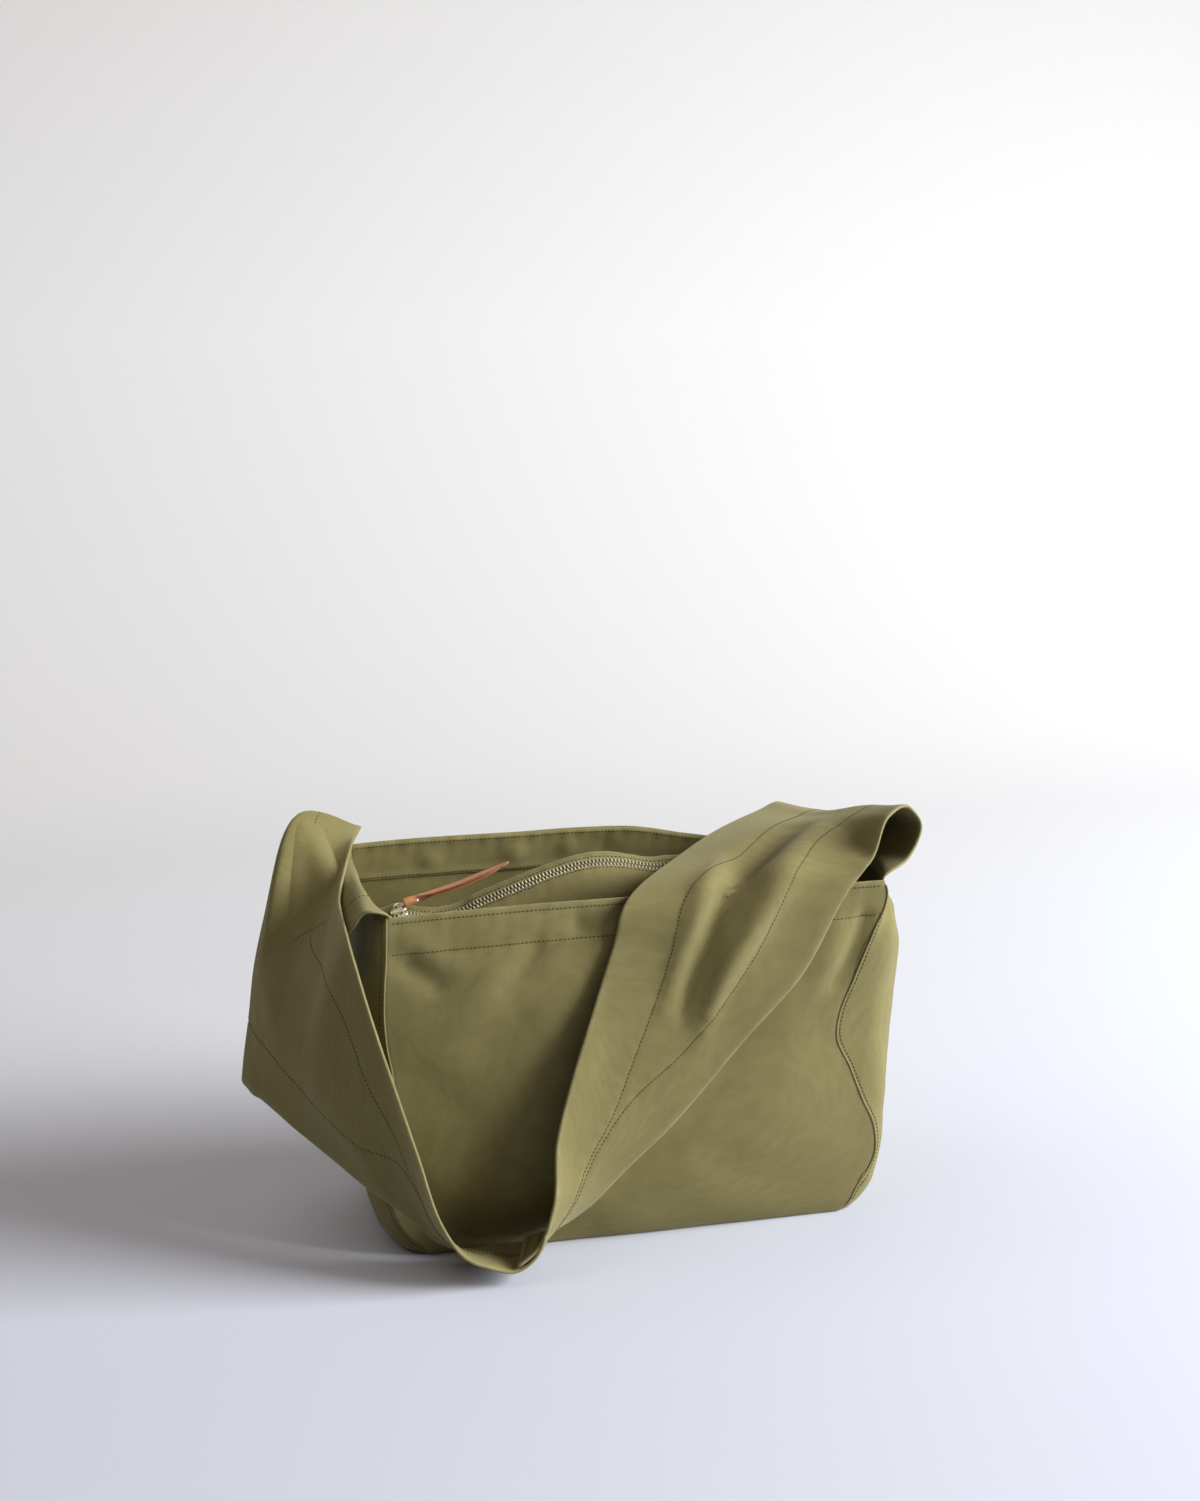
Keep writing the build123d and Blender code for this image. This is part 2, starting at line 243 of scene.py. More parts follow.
@dataclass
class Sheet:
    """A piece of cloth as a grid of points through the middle of its thickness."""

    name: str
    grid: np.ndarray
    outward: int = 1
    thick: float = 1.2
    under: np.ndarray = field(init=False)

    def __post_init__(self) -> None:
        """Measure the grid."""
        self.measure()
        self.under = np.full(self.grid.shape[:2], self.thick * MM / 2)

    def measure(self) -> None:
        """Work out directions, normals and distances over the grid."""
        along, across = np.gradient(self.grid, axis=0), np.gradient(self.grid, axis=1)
        self.along_way, self.across_way = unit(along), unit(across)
        self.normal = unit(np.cross(across, along)) * self.outward
        step = np.linalg.norm(np.diff(self.grid, axis=1), axis=2)
        self.across = np.concatenate([np.zeros((len(step), 1)), np.cumsum(step, axis=1)], 1)
        self.along = lengths(self.grid[:, self.grid.shape[1] // 2])

    def push(self, height: np.ndarray) -> None:
        """Move every point along its normal by a height in metres."""
        self.grid = self.grid + self.normal * height[:, :, None]
        self.measure()

    def face(self, way: np.ndarray | Point) -> None:
        """Turn the outer face toward a direction, one for all or one for each point."""
        if (self.normal * way).sum() < 0:
            self.outward = -self.outward
            self.measure()

    def press(self, creases: Sequence[Crease]) -> None:
        """Press creases into the sheet along its normal."""
        self.push(sum((c.lift(self.grid) for c in creases), np.zeros(self.grid.shape[:2])))

    def ripple(self, height: float, size: float, phase: float) -> None:
        """Give the cloth slow uneven waves, as worn canvas has.

        Args:
            height: Half the height of the waves, in millimetres.
            size: Typical distance between waves, in millimetres.
            phase: Shifts the pattern so that no two sheets match.
        """
        u, v = self.across / MM, (self.along / MM)[:, None]
        total = np.zeros_like(u)
        for k, (a, b) in enumerate(WAVES):
            reach = size * (1 + WAVE_GROWTH * k)
            total += np.sin((a * u + b * v) * math.tau / reach + phase * (k + 1))
        fade = 1 - bell(self.to_side(), PUCKER_REACH * MM)
        self.push(total * fade * height * MM / len(WAVES))

    def pucker(self, edge: Edge, inset: float, depth: float, phase: float = 0.0) -> None:
        """Draw the cloth in along a row of stitches.

        Args:
            edge: The border that the row follows.
            inset: Distance of the row from that border, in millimetres.
            depth: Depth of the groove under the thread, in millimetres.
            phase: Shifts the puckers along the row.
        """
        reach = inset * MM
        if edge in (Edge.NEAR, Edge.FAR):
            reach = np.minimum(reach, self.across[:, -1:] / 2 - MEETING_ROOM * MM)
        off = (self.distance(edge) - reach) / MM
        turns = self.travel(edge) / MM * math.tau
        short, wide = PUCKER_WAVES
        wave = np.sin(turns / short + phase) + 0.7 * np.sin(turns / wide + 2.1 * phase)
        waves = 0.35 * depth * np.exp(-np.abs(off) / PUCKER_REACH) * wave
        self.push((waves - depth * bell(off, GROOVE)) * MM)

    def to_side(self) -> np.ndarray:
        """Distance of each grid point from the nearer long side."""
        return np.minimum(self.across, self.across[:, -1:] - self.across)

    def turn_hems(self, width: float, rise: float, share: float) -> None:
        """Double the cloth along both long sides, from a share of the rows on.

        Args:
            width: Width of the turned hem in millimetres.
            rise: Thickness that it adds, in millimetres.
            share: Where the hems start, as a share of the rows.
        """
        rows = len(self.grid)
        start = np.clip((np.arange(rows) / rows - share) * 40, 0, 1)[:, None]
        step = 1 / (1 + np.exp((self.to_side() - width * MM) / (HEM_STEP * MM)))
        self.under = self.under + start * step * rise * MM

    def distance(self, edge: Edge) -> np.ndarray:
        """Distance of each grid point from a border, over the cloth."""
        if edge is Edge.NEAR:
            return self.across
        if edge is Edge.FAR:
            return self.across[:, -1:] - self.across
        step = np.linalg.norm(np.diff(self.grid, axis=0), axis=2)
        down = np.concatenate([np.zeros((1, step.shape[1])), np.cumsum(step, axis=0)], 0)
        return down if edge is Edge.START else down[-1:] - down

    def travel(self, edge: Edge) -> np.ndarray:
        """Distance of each grid point along a border."""
        if edge in (Edge.NEAR, Edge.FAR):
            return np.broadcast_to(self.along[:, None], self.grid.shape[:2])
        return self.across

    def row(self, edge: Edge, inset: float, start: float = 0.0, end: float = 1.0) -> np.ndarray:
        """Grid positions of a line that follows a border.

        Args:
            edge: The border to follow.
            inset: Distance from the border, in millimetres.
            start: Where the line starts, as a share of the border.
            end: Where it ends.

        Returns:
            An n x 2 array of row and column positions, with fractions.
        """
        crosswise = edge in (Edge.START, Edge.END)
        away = self.distance(edge)
        away = away.T if crosswise else away
        last = len(away) - 1
        picks = np.arange(round(start * last), round(end * last) + 1)
        places = []
        for line in away[picks]:
            order = np.argsort(line)
            reach = min(inset * MM, line.max() / 2 - MEETING_ROOM * MM)
            places.append(np.interp(reach, line[order], order))
        padded = np.pad(places, EASE, mode="reflect", reflect_type="odd")
        window = 2 * EASE + 1
        places = np.convolve(padded, np.full(window, 1 / window), mode="valid")
        return np.stack([places, picks] if crosswise else [picks, places], 1)

    def read(self, spots: np.ndarray, values: np.ndarray) -> np.ndarray:
        """Values at fractional grid positions."""
        i = np.clip(spots[:, 0].astype(int), 0, self.grid.shape[0] - 2)
        j = np.clip(spots[:, 1].astype(int), 0, self.grid.shape[1] - 2)
        a, b = (spots[:, 0] - i)[:, None], (spots[:, 1] - j)[:, None]
        return ((1 - a) * (1 - b) * values[i, j] + a * (1 - b) * values[i + 1, j]
                + (1 - a) * b * values[i, j + 1] + a * b * values[i + 1, j + 1])

    def band(self, name: str, rows: tuple[float, float], columns: tuple[float, float],
             depth: float, thick: float, shape: tuple[int, int]) -> Sheet:
        """A strip of cloth laid on part of this sheet's inner face.

        Args:
            name: Name of the strip.
            rows: First and last share of the rows.
            columns: First and last share of the columns.
            depth: From this sheet's middle to the strip's middle, in millimetres.
            thick: The strip's thickness in millimetres.
            shape: Rows and columns of the strip's grid.

        Returns:
            The strip.
        """
        count, wide = self.grid.shape[:2]
        i, j = np.meshgrid(np.linspace(*rows, shape[0]) * (count - 1),
                           np.linspace(*columns, shape[1]) * (wide - 1), indexing="ij")
        spots = np.stack([i.ravel(), j.ravel()], 1)
        points = self.read(spots, self.grid) - unit(self.read(spots, self.normal)) * depth * MM
        return Sheet(name, points.reshape(*shape, 3), self.outward, thick)

    def build(self) -> bpy.types.Object:
        """Make the closed mesh: two faces and a rolled edge, with UVs in metres."""
        rows, columns = self.grid.shape[:2]
        over = self.thick * MM / 2
        outer = self.grid + self.normal * over
        inner = self.grid - self.normal * self.under[:, :, None]
        ring = ([(0, j) for j in range(columns)] + [(i, columns - 1) for i in range(1, rows)]
                + [(rows - 1, j) for j in range(columns - 2, -1, -1)]
                + [(i, 0) for i in range(rows - 2, 0, -1)])
        ri, rj = np.array(ring).T
        way = np.stack([(ri == rows - 1) * 1.0 - (ri == 0),
                        (rj == columns - 1) * 1.0 - (rj == 0)], 1)
        out = unit(self.along_way[ri, rj] * way[:, :1] + self.across_way[ri, rj] * way[:, 1:])
        half = (over + self.under[ri, rj])[:, None] / 2
        centre = (outer[ri, rj] + inner[ri, rj]) / 2
        uv = np.stack([self.across - self.across[:, -1:] / 2,
                       np.broadcast_to(self.along[:, None], self.across.shape)], 2)
        loops, marks = [], []
        for angle in (45, 90, 135):
            turn = math.radians(angle)
            loops.append(centre + self.normal[ri, rj] * half * math.cos(turn)
                         + out * half * math.sin(turn))
            marks.append(uv[ri, rj] + way[:, ::-1] * half * turn)
        flat = rows * columns
        index = np.arange(flat).reshape(rows, columns)
        quads = np.stack([index[:-1, :-1], index[:-1, 1:], index[1:, 1:], index[1:, :-1]], -1)
        quads = quads.reshape(-1, 4)
        upper, lower = quads, quads[:, ::-1] + flat
        count = len(ring)
        border = ri * columns + rj
        bands = [border, *(2 * flat + k * count + np.arange(count) for k in range(3)),
                 border + flat]
        strips = [np.stack([a, b, np.roll(b, -1), np.roll(a, -1)], 1)
                  for a, b in zip(bands, bands[1:])]
        faces = np.concatenate([upper, lower, *strips])
        if self.outward < 0:
            faces = faces[:, ::-1]
        points = np.concatenate([outer.reshape(-1, 3), inner.reshape(-1, 3), *loops])
        maps = np.concatenate([uv.reshape(-1, 2), uv.reshape(-1, 2), *marks])
        edge = np.minimum.reduce([self.distance(e) for e in Edge]).ravel()
        near = np.exp(-edge / (WEAR_REACH * MM))
        wear = np.concatenate([near, near, np.ones(3 * count)])
        return mesh_object(f"{self.name}_cloth", points, faces, maps, wear)

    def lay(self, finish: Finish, held: str, rests_on: Sequence[str], *nodes: str) -> None:
        """Build the sheet as a piece of the bag.

        Args:
            finish: The cloth's finish.
            held: How the sheet is kept in shape; not used.
            rests_on: The CAD nodes that hold it; not used.
            nodes: The CAD nodes that it stands for, or none for the one of its own name.
        """
        piece = self.build()
        finish_piece(piece, finish, Body.BAG, *(nodes or (self.name,)))


def mesh_object(name: str, points: np.ndarray, faces: np.ndarray, maps: np.ndarray | None = None,
                wear: np.ndarray | None = None) -> bpy.types.Object:
    """Make a smooth mesh object from arrays.

    Args:
        name: Name of the piece.
        points: n x 3 vertices in metres.
        faces: Rows of vertex numbers, all of the same length.
        maps: UV of each vertex, in metres over the cloth.
        wear: How near each vertex is to an edge, from 0 to 1.

    Returns:
        The object, linked to the scene.
    """
    mesh = bpy.data.meshes.new(name)
    mesh.from_pydata(points.tolist(), [], faces.tolist())
    if maps is not None:
        corners = np.zeros(len(mesh.loops), np.int32)
        mesh.loops.foreach_get("vertex_index", corners)
        layer = mesh.uv_layers.new(name="cloth")
        layer.data.foreach_set("uv", maps[corners].astype(np.float32).ravel())
    if wear is not None:
        mark = mesh.attributes.new("wear", "FLOAT", "POINT")
        mark.data.foreach_set("value", wear.astype(np.float32))
    mesh.shade_smooth()
    mesh.update()
    return add_object(mesh)


def add_object(data: bpy.types.ID) -> bpy.types.Object:
    """Put a mesh, a camera or a light in the scene, under its own name."""
    piece = bpy.data.objects.new(data.name, data)
    bpy.context.scene.collection.objects.link(piece)
    return piece


# ---- sewing thread ------------------------------------------------------------------
@dataclass(frozen=True)
class Thread:
    """Sewing thread laid as a row of single stitches.

    Each ring is its share of the stitch's length, its share of the radius and its rise in radii.
    """

    finish: Finish
    stitch: float = 2.1
    gap: float = 1.0
    radius: float = 0.38
    flatness: float = 0.8
    sides: int = 6
    rings: tuple[Point, ...] = ((-0.5, 0.4, -0.6), (-0.3, 1, 0.35), (0.3, 1, 0.35),
                                (0.5, 0.4, -0.6))

    def along(self, sheet: Sheet, spots: np.ndarray, face: Face = Face.OUTER) -> np.ndarray:
        """Stitch frames along a line of a sheet.

        Args:
            sheet: The cloth that is sewn.
            spots: Grid positions of the line.
            face: Which face the stitches lie on.

        Returns:
            An n x 3 x 3 array: middle, direction and normal of each stitch.
        """
        normals = unit(sheet.read(spots, sheet.normal)) * face.value
        depth = sheet.thick * MM / 2
        if face is Face.INNER:
            depth = sheet.read(spots, sheet.under[:, :, None])
        points = sheet.read(spots, sheet.grid) + normals * depth
        run = lengths(points)
        pitch = (self.stitch + self.gap) * MM
        at = np.arange(pitch / 2, run[-1], pitch)
        way = read_line(points, run, at + pitch / 3) - read_line(points, run, at - pitch / 3)
        return np.stack([read_line(points, run, at), unit(way),
                         unit(read_line(normals, run, at))], 1)

    def sew(self, name: str, frames: Sequence[np.ndarray]) -> None:
        """Make all of a piece's stitches as one mesh."""
        turns = np.arange(self.sides) * math.tau / self.sides
        profile = [(share * self.stitch, self.radius * size * math.sin(a),
                    self.radius * (size * self.flatness * math.cos(a) + rise))
                   for share, size, rise in self.rings for a in turns]
        points = on_frames(np.concatenate(frames), np.array(profile) * MM)
        n, last = self.sides, (len(self.rings) - 1) * self.sides
        quads = [(k * n + a, (k + 1) * n + a, (k + 1) * n + (a + 1) % n, k * n + (a + 1) % n)
                 for k in range(len(self.rings) - 1) for a in range(n)]
        ends = [(0, 1, 2, 3), (0, 3, 4, 5)]
        ends += [tuple(last + v for v in reversed(e)) for e in ends]
        faces = np.arange(len(points))[:, None, None] * len(profile) + np.array(quads + ends)
        piece = mesh_object(f"{name}_thread", points.reshape(-1, 3), faces.reshape(-1, 4))
        finish_piece(piece, self.finish, Body.BAG)


# ---- finishes -----------------------------------------------------------------------
Colour = tuple[float, float, float]


def socket_of(node: bpy.types.Node, name: str) -> bpy.types.NodeSocket:
    """An input of a node that is switched on, by name."""
    return next(s for s in node.inputs if s.name == name and s.enabled)


class Wiring:
    """Short ways to add and join nodes in one tree."""

    def __init__(self, tree: bpy.types.NodeTree) -> None:
        """Keep the tree to work in."""
        self.tree = tree

    def add(self, kind: str, **settings: object) -> bpy.types.Node:
        """Add a node and set its own properties."""
        node = self.tree.nodes.new(kind)
        for key, value in settings.items():
            setattr(node, key, value)
        return node

    def join(self, source: bpy.types.NodeSocket, target: bpy.types.NodeSocket) -> None:
        """Link an output to an input."""
        self.tree.links.new(source, target)

    def math(self, operation: str, a: object, b: object = 0.0) -> bpy.types.NodeSocket:
        """Add a Math node; a and b are sockets or numbers."""
        node = self.add("ShaderNodeMath", operation=operation)
        for k, value in enumerate((a, b)):
            if isinstance(value, bpy.types.NodeSocket):
                self.join(value, node.inputs[k])
            else:
                node.inputs[k].default_value = value
        return node.outputs[0]

    def times(self, a: object, b: object) -> bpy.types.NodeSocket:
        """Multiply two sockets or numbers."""
        return self.math("MULTIPLY", a, b)

    def noise(self, where: bpy.types.NodeSocket, scale: float, detail: float = 2.0,
              rough: float = 0.5) -> bpy.types.NodeSocket:
        """Add a noise texture and return its value."""
        node = self.add("ShaderNodeTexNoise")
        self.join(where, node.inputs["Vector"])
        for name, value in (("Scale", scale), ("Detail", detail), ("Roughness", rough)):
            node.inputs[name].default_value = value
        return node.outputs["Fac"]

    def spread(self, value: bpy.types.NodeSocket, low: float, high: float, to_low: float,
               to_high: float) -> bpy.types.NodeSocket:
        """Map a range of values onto another."""
        node = self.add("ShaderNodeMapRange")
        self.join(value, node.inputs[0])
        for k, number in enumerate((low, high, to_low, to_high)):
            node.inputs[k + 1].default_value = number
        return node.outputs[0]

    def blend(self, share: object, a: object, b: object, mode: str = "MIX") -> bpy.types.NodeSocket:
        """Mix two colours; share, a and b are sockets or values."""
        node = self.add("ShaderNodeMix", data_type="RGBA", blend_type=mode)
        for name, value in (("Factor", share), ("A", a), ("B", b)):
            target = socket_of(node, name)
            if isinstance(value, bpy.types.NodeSocket):
                self.join(value, target)
            else:
                target.default_value = (*value, 1) if isinstance(value, tuple) else value
        return next(s for s in node.outputs if s.enabled)


def effect(name: str, inputs: Sequence[tuple[str, str, object]], outputs: Sequence[tuple[str, str]],
           fill: Callable[[Wiring, bpy.types.Node, bpy.types.Node], None]) -> bpy.types.NodeTree:
    """A shader node group, built once.

    Args:
        name: Name of the group.
        inputs: Name, socket type and value of each input.
        outputs: Name and socket type of each output.
        fill: Adds the nodes between the group's input and output.

    Returns:
        The group's tree.
    """
    if name in bpy.data.node_groups:
        return bpy.data.node_groups[name]
    tree = bpy.data.node_groups.new(name, "ShaderNodeTree")
    for title, kind, value in inputs:
        socket = tree.interface.new_socket(title, in_out="INPUT", socket_type=kind)
        if value is not None:
            socket.default_value = value
    for title, kind in outputs:
        tree.interface.new_socket(title, in_out="OUTPUT", socket_type=kind)
    wires = Wiring(tree)
    fill(wires, wires.add("NodeGroupInput"), wires.add("NodeGroupOutput"))
    return tree


def weave_group() -> bpy.types.NodeTree:
    """Plain weave: warp and weft threads that pass over and under each other."""

    def fill(w: Wiring, start: bpy.types.Node, end: bpy.types.Node) -> None:
        warp = w.add("ShaderNodeTexNoise")
        warp.inputs["Scale"].default_value = 160
        w.join(start.outputs["Vector"], warp.inputs["Vector"])
        sway = w.add("ShaderNodeVectorMath", operation="MULTIPLY_ADD")
        w.join(warp.outputs["Color"], sway.inputs[0])
        sway.inputs[1].default_value = (0.00045, 0.00045, 0)
        w.join(start.outputs["Vector"], sway.inputs[2])
        place = w.add("ShaderNodeSeparateXYZ")
        w.join(sway.outputs[0], place.inputs[0])
        counts = [w.times(place.outputs[k], start.outputs["Threads"]) for k in (0, 1)]
        warps, wefts = (w.math("SINE", w.times(c, math.pi)) for c in counts)
        over = w.math("GREATER_THAN", w.times(warps, wefts), 0.0)
        first = w.times(w.math("ABSOLUTE", warps), over)
        second = w.times(w.math("ABSOLUTE", wefts), w.math("SUBTRACT", 1.0, over))
        height = w.math("ADD", first, second)
        w.join(height, end.inputs["Height"])
        # Gaps: the hollows between the threads, which the canvas darkens as painted shade
        w.join(w.math("SUBTRACT", 1.0, height), end.inputs["Gaps"])

    return effect("canvas_weave", [("Vector", "NodeSocketVector", None),
                                   ("Threads", "NodeSocketFloat", 1400.0)],
                  [("Height", "NodeSocketFloat"), ("Gaps", "NodeSocketFloat")], fill)


def mottle_group() -> bpy.types.NodeTree:
    """Uneven dye: broad clouds, finer blotches and single slubby threads."""

    def fill(w: Wiring, start: bpy.types.Node, end: bpy.types.Node) -> None:
        where = start.outputs["Vector"]
        w.join(w.spread(w.noise(where, 9, 3), 0.3, 0.7, 0, 1), end.inputs["Clouds"])
        w.join(w.spread(w.noise(where, 70, 4, 0.6), 0.3, 0.7, 0, 1), end.inputs["Blotches"])
        slub = w.add("ShaderNodeMapping")
        slub.inputs["Scale"].default_value = (60, 1100, 60)
        w.join(where, slub.inputs["Vector"])
        w.join(w.spread(w.noise(slub.outputs[0], 1, 1), 0.35, 0.65, 0, 1), end.inputs["Slubs"])

    return effect("uneven_dye", [("Vector", "NodeSocketVector", None)],
                  [(n, "NodeSocketFloat") for n in ("Clouds", "Blotches", "Slubs")], fill)


def hide_group() -> bpy.types.NodeTree:
    """Leather: fine pebbled grain, pores and darker creases."""

    def fill(w: Wiring, start: bpy.types.Node, end: bpy.types.Node) -> None:
        where = start.outputs["Vector"]
        cells = w.add("ShaderNodeTexVoronoi", feature="DISTANCE_TO_EDGE")
        cells.inputs["Scale"].default_value = 1500
        w.join(where, cells.inputs["Vector"])
        grain = w.spread(cells.outputs["Distance"], 0, 0.25, 0, 1)
        w.join(w.math("ADD", grain, w.noise(where, 420, 5, 0.6)), end.inputs["Height"])
        w.join(w.spread(w.noise(where, 130, 4, 0.65), 0.3, 0.72, 0, 1), end.inputs["Tone"])

    return effect("hide_grain", [("Vector", "NodeSocketVector", None)],
                  [("Height", "NodeSocketFloat"), ("Tone", "NodeSocketFloat")], fill)


class Surface:
    """A new material with its shader, ready for a finish to wire up."""

    def __init__(self, name: str) -> None:
        """Make the material and keep its shader."""
        self.material = bpy.data.materials.new(name)
        self.material.use_nodes = True
        self.wires = Wiring(self.material.node_tree)
        self.shader = self.material.node_tree.nodes["Principled BSDF"]

    def set(self, **values: object) -> None:
        """Set constants on the shader's own sockets."""
        for key, value in values.items():
            name = key.replace("_", " ").title().replace("Ior", "IOR")
            self.shader.inputs[name].default_value = value

    def where(self, kind: str = "Object") -> bpy.types.NodeSocket:
        """Positions to lay a pattern on."""
        return self.wires.add("ShaderNodeTexCoord").outputs[kind]

    def wear(self) -> bpy.types.NodeSocket:
        """How near the surface is to the piece's edge."""
        return self.wires.add("ShaderNodeAttribute", attribute_name="wear").outputs["Fac"]

    def feed(self, colour: bpy.types.NodeSocket, roughness: bpy.types.NodeSocket | None) -> None:
        """Wire the shader's colour and, if there is a pattern for it, its roughness."""
        self.wires.join(colour, self.shader.inputs["Base Color"])
        if roughness:
            self.wires.join(roughness, self.shader.inputs["Roughness"])

    def group(self, tree: bpy.types.NodeTree, where: bpy.types.NodeSocket) -> bpy.types.Node:
        """Place an effect and feed it a position."""
        node = self.wires.add("ShaderNodeGroup", node_tree=tree)
        self.wires.join(where, node.inputs["Vector"])
        return node

    def bump(self, height: bpy.types.NodeSocket, distance: float, strength: float) -> None:
        """Roughen the surface with a height pattern."""
        node = self.wires.add("ShaderNodeBump")
        node.inputs["Distance"].default_value = distance
        node.inputs["Strength"].default_value = strength
        self.wires.join(height, node.inputs["Height"])
        self.wires.join(node.outputs[0], self.shader.inputs["Normal"])


@dataclass(frozen=True)
class Canvas:
    """Dyed cotton canvas, tape or thread."""

    name: str
    dyed: Colour
    faded: Colour
    threads: float = 1400.0
    relief: float = 0.16
    roughness: float = 0.86
    worn: Colour = (0.36, 0.33, 0.17)
    wear: float = 0.35
    sheen: float = 0.25

    def make(self) -> bpy.types.Material:
        """Build the material on the piece's own UVs."""
        s = Surface(self.name)
        w, body = s.wires, s.where()
        weave = s.group(weave_group(), s.where("UV"))
        weave.inputs["Threads"].default_value = self.threads
        dye = s.group(mottle_group(), body).outputs
        rub = w.times(s.wear(), w.spread(dye["Blotches"], 0.2, 0.9, 0.3, 1))
        tone = self.dyed
        for mask, share, colour in (
                (dye["Clouds"], 0.45, self.faded),
                (dye["Blotches"], 0.12, tuple(0.72 * c for c in self.dyed)),
                (dye["Slubs"], 0.16, tuple(min(1.0, 1.35 * c) for c in self.faded)),
                # painted shade: the hollows between the weave's threads are darkened toward half
                # the dye
                (weave.outputs["Gaps"], 0.45, tuple(0.5 * c for c in self.dyed)),
                (rub, self.wear, self.worn)):
            tone = w.blend(w.times(mask, share), tone, colour)
        s.feed(tone, w.spread(weave.outputs["Height"], 0, 1, min(1.0, self.roughness + 0.1),
                              self.roughness - 0.06))
        s.set(specular_ior_level=0.25, sheen_weight=self.sheen, sheen_roughness=0.45,
              sheen_tint=(0.75, 0.72, 0.5, 1))
        fuzz = w.times(w.noise(body, 1600, 2), 0.7)
        s.bump(w.math("ADD", weave.outputs["Height"], fuzz), 0.0004, self.relief * 2.2)
        return s.material


@dataclass(frozen=True)
class Metal:
    """Nickel-plated brass of the zip, brushed by handling."""

    name: str
    plate: Colour = (0.93, 0.88, 0.72)
    rubbed: Colour = (0.95, 0.88, 0.66)

    def make(self) -> bpy.types.Material:
        """Build the material on object coordinates."""
        s = Surface(self.name)
        w = s.wires
        where = s.where()
        spots = w.spread(w.noise(where, 300, 4, 0.6), 0.35, 0.7, 0, 1)
        s.feed(w.blend(spots, self.plate, self.rubbed),
               w.spread(w.noise(where, 900, 3), 0.3, 0.7, 0.3, 0.5))
        s.set(metallic=0.8)
        s.bump(w.noise(where, 2500, 2), 0.00008, 0.25)
        return s.material


@dataclass(frozen=True)
class Leather:
    """Vegetable-tanned leather with a burnished edge."""

    name: str
    tan: Colour = (0.43, 0.165, 0.055)
    pale: Colour = (0.60, 0.29, 0.115)
    edge: Colour = (0.24, 0.085, 0.03)

    def make(self) -> bpy.types.Material:
        """Build the material on object coordinates."""
        s = Surface(self.name)
        w = s.wires
        where = s.where()
        hide = s.group(hide_group(), where)
        tone = w.blend(hide.outputs["Tone"], self.tan, self.pale)
        tone = w.blend(w.spread(s.wear(), 0.5, 1, 0, 0.8), tone, self.edge)
        s.feed(tone, w.spread(hide.outputs["Tone"], 0, 1, 0.42, 0.6))
        s.set(specular_ior_level=0.45, coat_weight=0.1, coat_roughness=0.35)
        s.bump(hide.outputs["Height"], 0.0002, 0.35)
        return s.material


@dataclass(frozen=True)
class Plaster:
    """The pale, plain stage that the bag stands on."""

    name: str
    # painted light and shade: the floor is darker and bluer than the wall and the top darker again,
    # grading the sweep's brightness
    floor: Colour = (0.515, 0.53, 0.60)
    wall: Colour = (0.655, 0.655, 0.66)
    top: Colour = (0.46, 0.43, 0.395)

    def make(self) -> bpy.types.Material:
        """Build the material on object coordinates, with painted light and shade: paler from the
        floor up into the wall, then darker and warmer toward the top.
        """
        s = Surface(self.name)
        w = s.wires
        parts = w.add("ShaderNodeSeparateXYZ")
        w.join(s.where(), parts.inputs[0])
        back = w.spread(parts.outputs[1], -0.15, 1.4, 0, 1)
        rise = w.spread(parts.outputs[2], 0.6, 2.3, 0, 1)
        s.feed(w.blend(rise, w.blend(back, self.floor, self.wall), self.top), None)
        s.set(roughness=0.9, specular_ior_level=0.1)
        return s.material


@dataclass(frozen=True)
class Finish:
    """A material and the slot of the part that it fills."""

    material: bpy.types.Material
    slot: str


class Finishes:
    """Every finish of the bag, made once."""

    def __init__(self) -> None:
        """Make the materials."""
        canvas = Canvas("olive_canvas", (0.168, 0.143, 0.049), (0.226, 0.196, 0.077))
        tape = Canvas("olive_zip_tape", (0.10, 0.088, 0.034), (0.13, 0.113, 0.046),
                      threads=2600.0, relief=0.1, wear=0.1)
        binding = Canvas("olive_binding_tape", (0.13, 0.115, 0.05), (0.17, 0.15, 0.066),
                         threads=2200.0, relief=0.12, wear=0.2)
        thread = Canvas("olive_thread", (0.032, 0.029, 0.009), (0.05, 0.045, 0.014),
                        threads=3000.0, relief=0.1, wear=0.0, sheen=0.1)
        self.canvas = Finish(canvas.make(), "canvas")
        self.tape = Finish(tape.make(), "zip_tape")
        self.binding = Finish(binding.make(), "binding_tape")
        self.thread = Finish(thread.make(), "canvas")
        self.metal = Finish(Metal("zip_brass").make(), "zip_metal")
        self.leather = Finish(Leather("tan_leather").make(), "leather")


def finish_piece(piece: bpy.types.Object, finish: Finish, body: Body, *nodes: str) -> None:
    """Give a piece its finish, body and the CAD nodes that it stands for."""
    piece.data.materials.clear()
    piece.data.materials.append(finish.material)
    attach(piece, body.value)
    if nodes:
        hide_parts(*nodes)
    log.info("%s: %d faces", piece.name, len(piece.data.polygons))


# ---- the bag's shell ----------------------------------------------------------------
LEVELS = np.array([1, 4, 10, 20, 32, 48, 70, 95, 120, 145, 165, 188, 211, 230, 244, 256, 264.0])


def at_levels(table: Sequence[tuple[float, ...]]) -> np.ndarray:
    """Read rows of (height, values...) at the shell's levels."""
    rows = np.array(table, float)
    return smooth(rows[:, 1:], rows[:, 0], LEVELS)


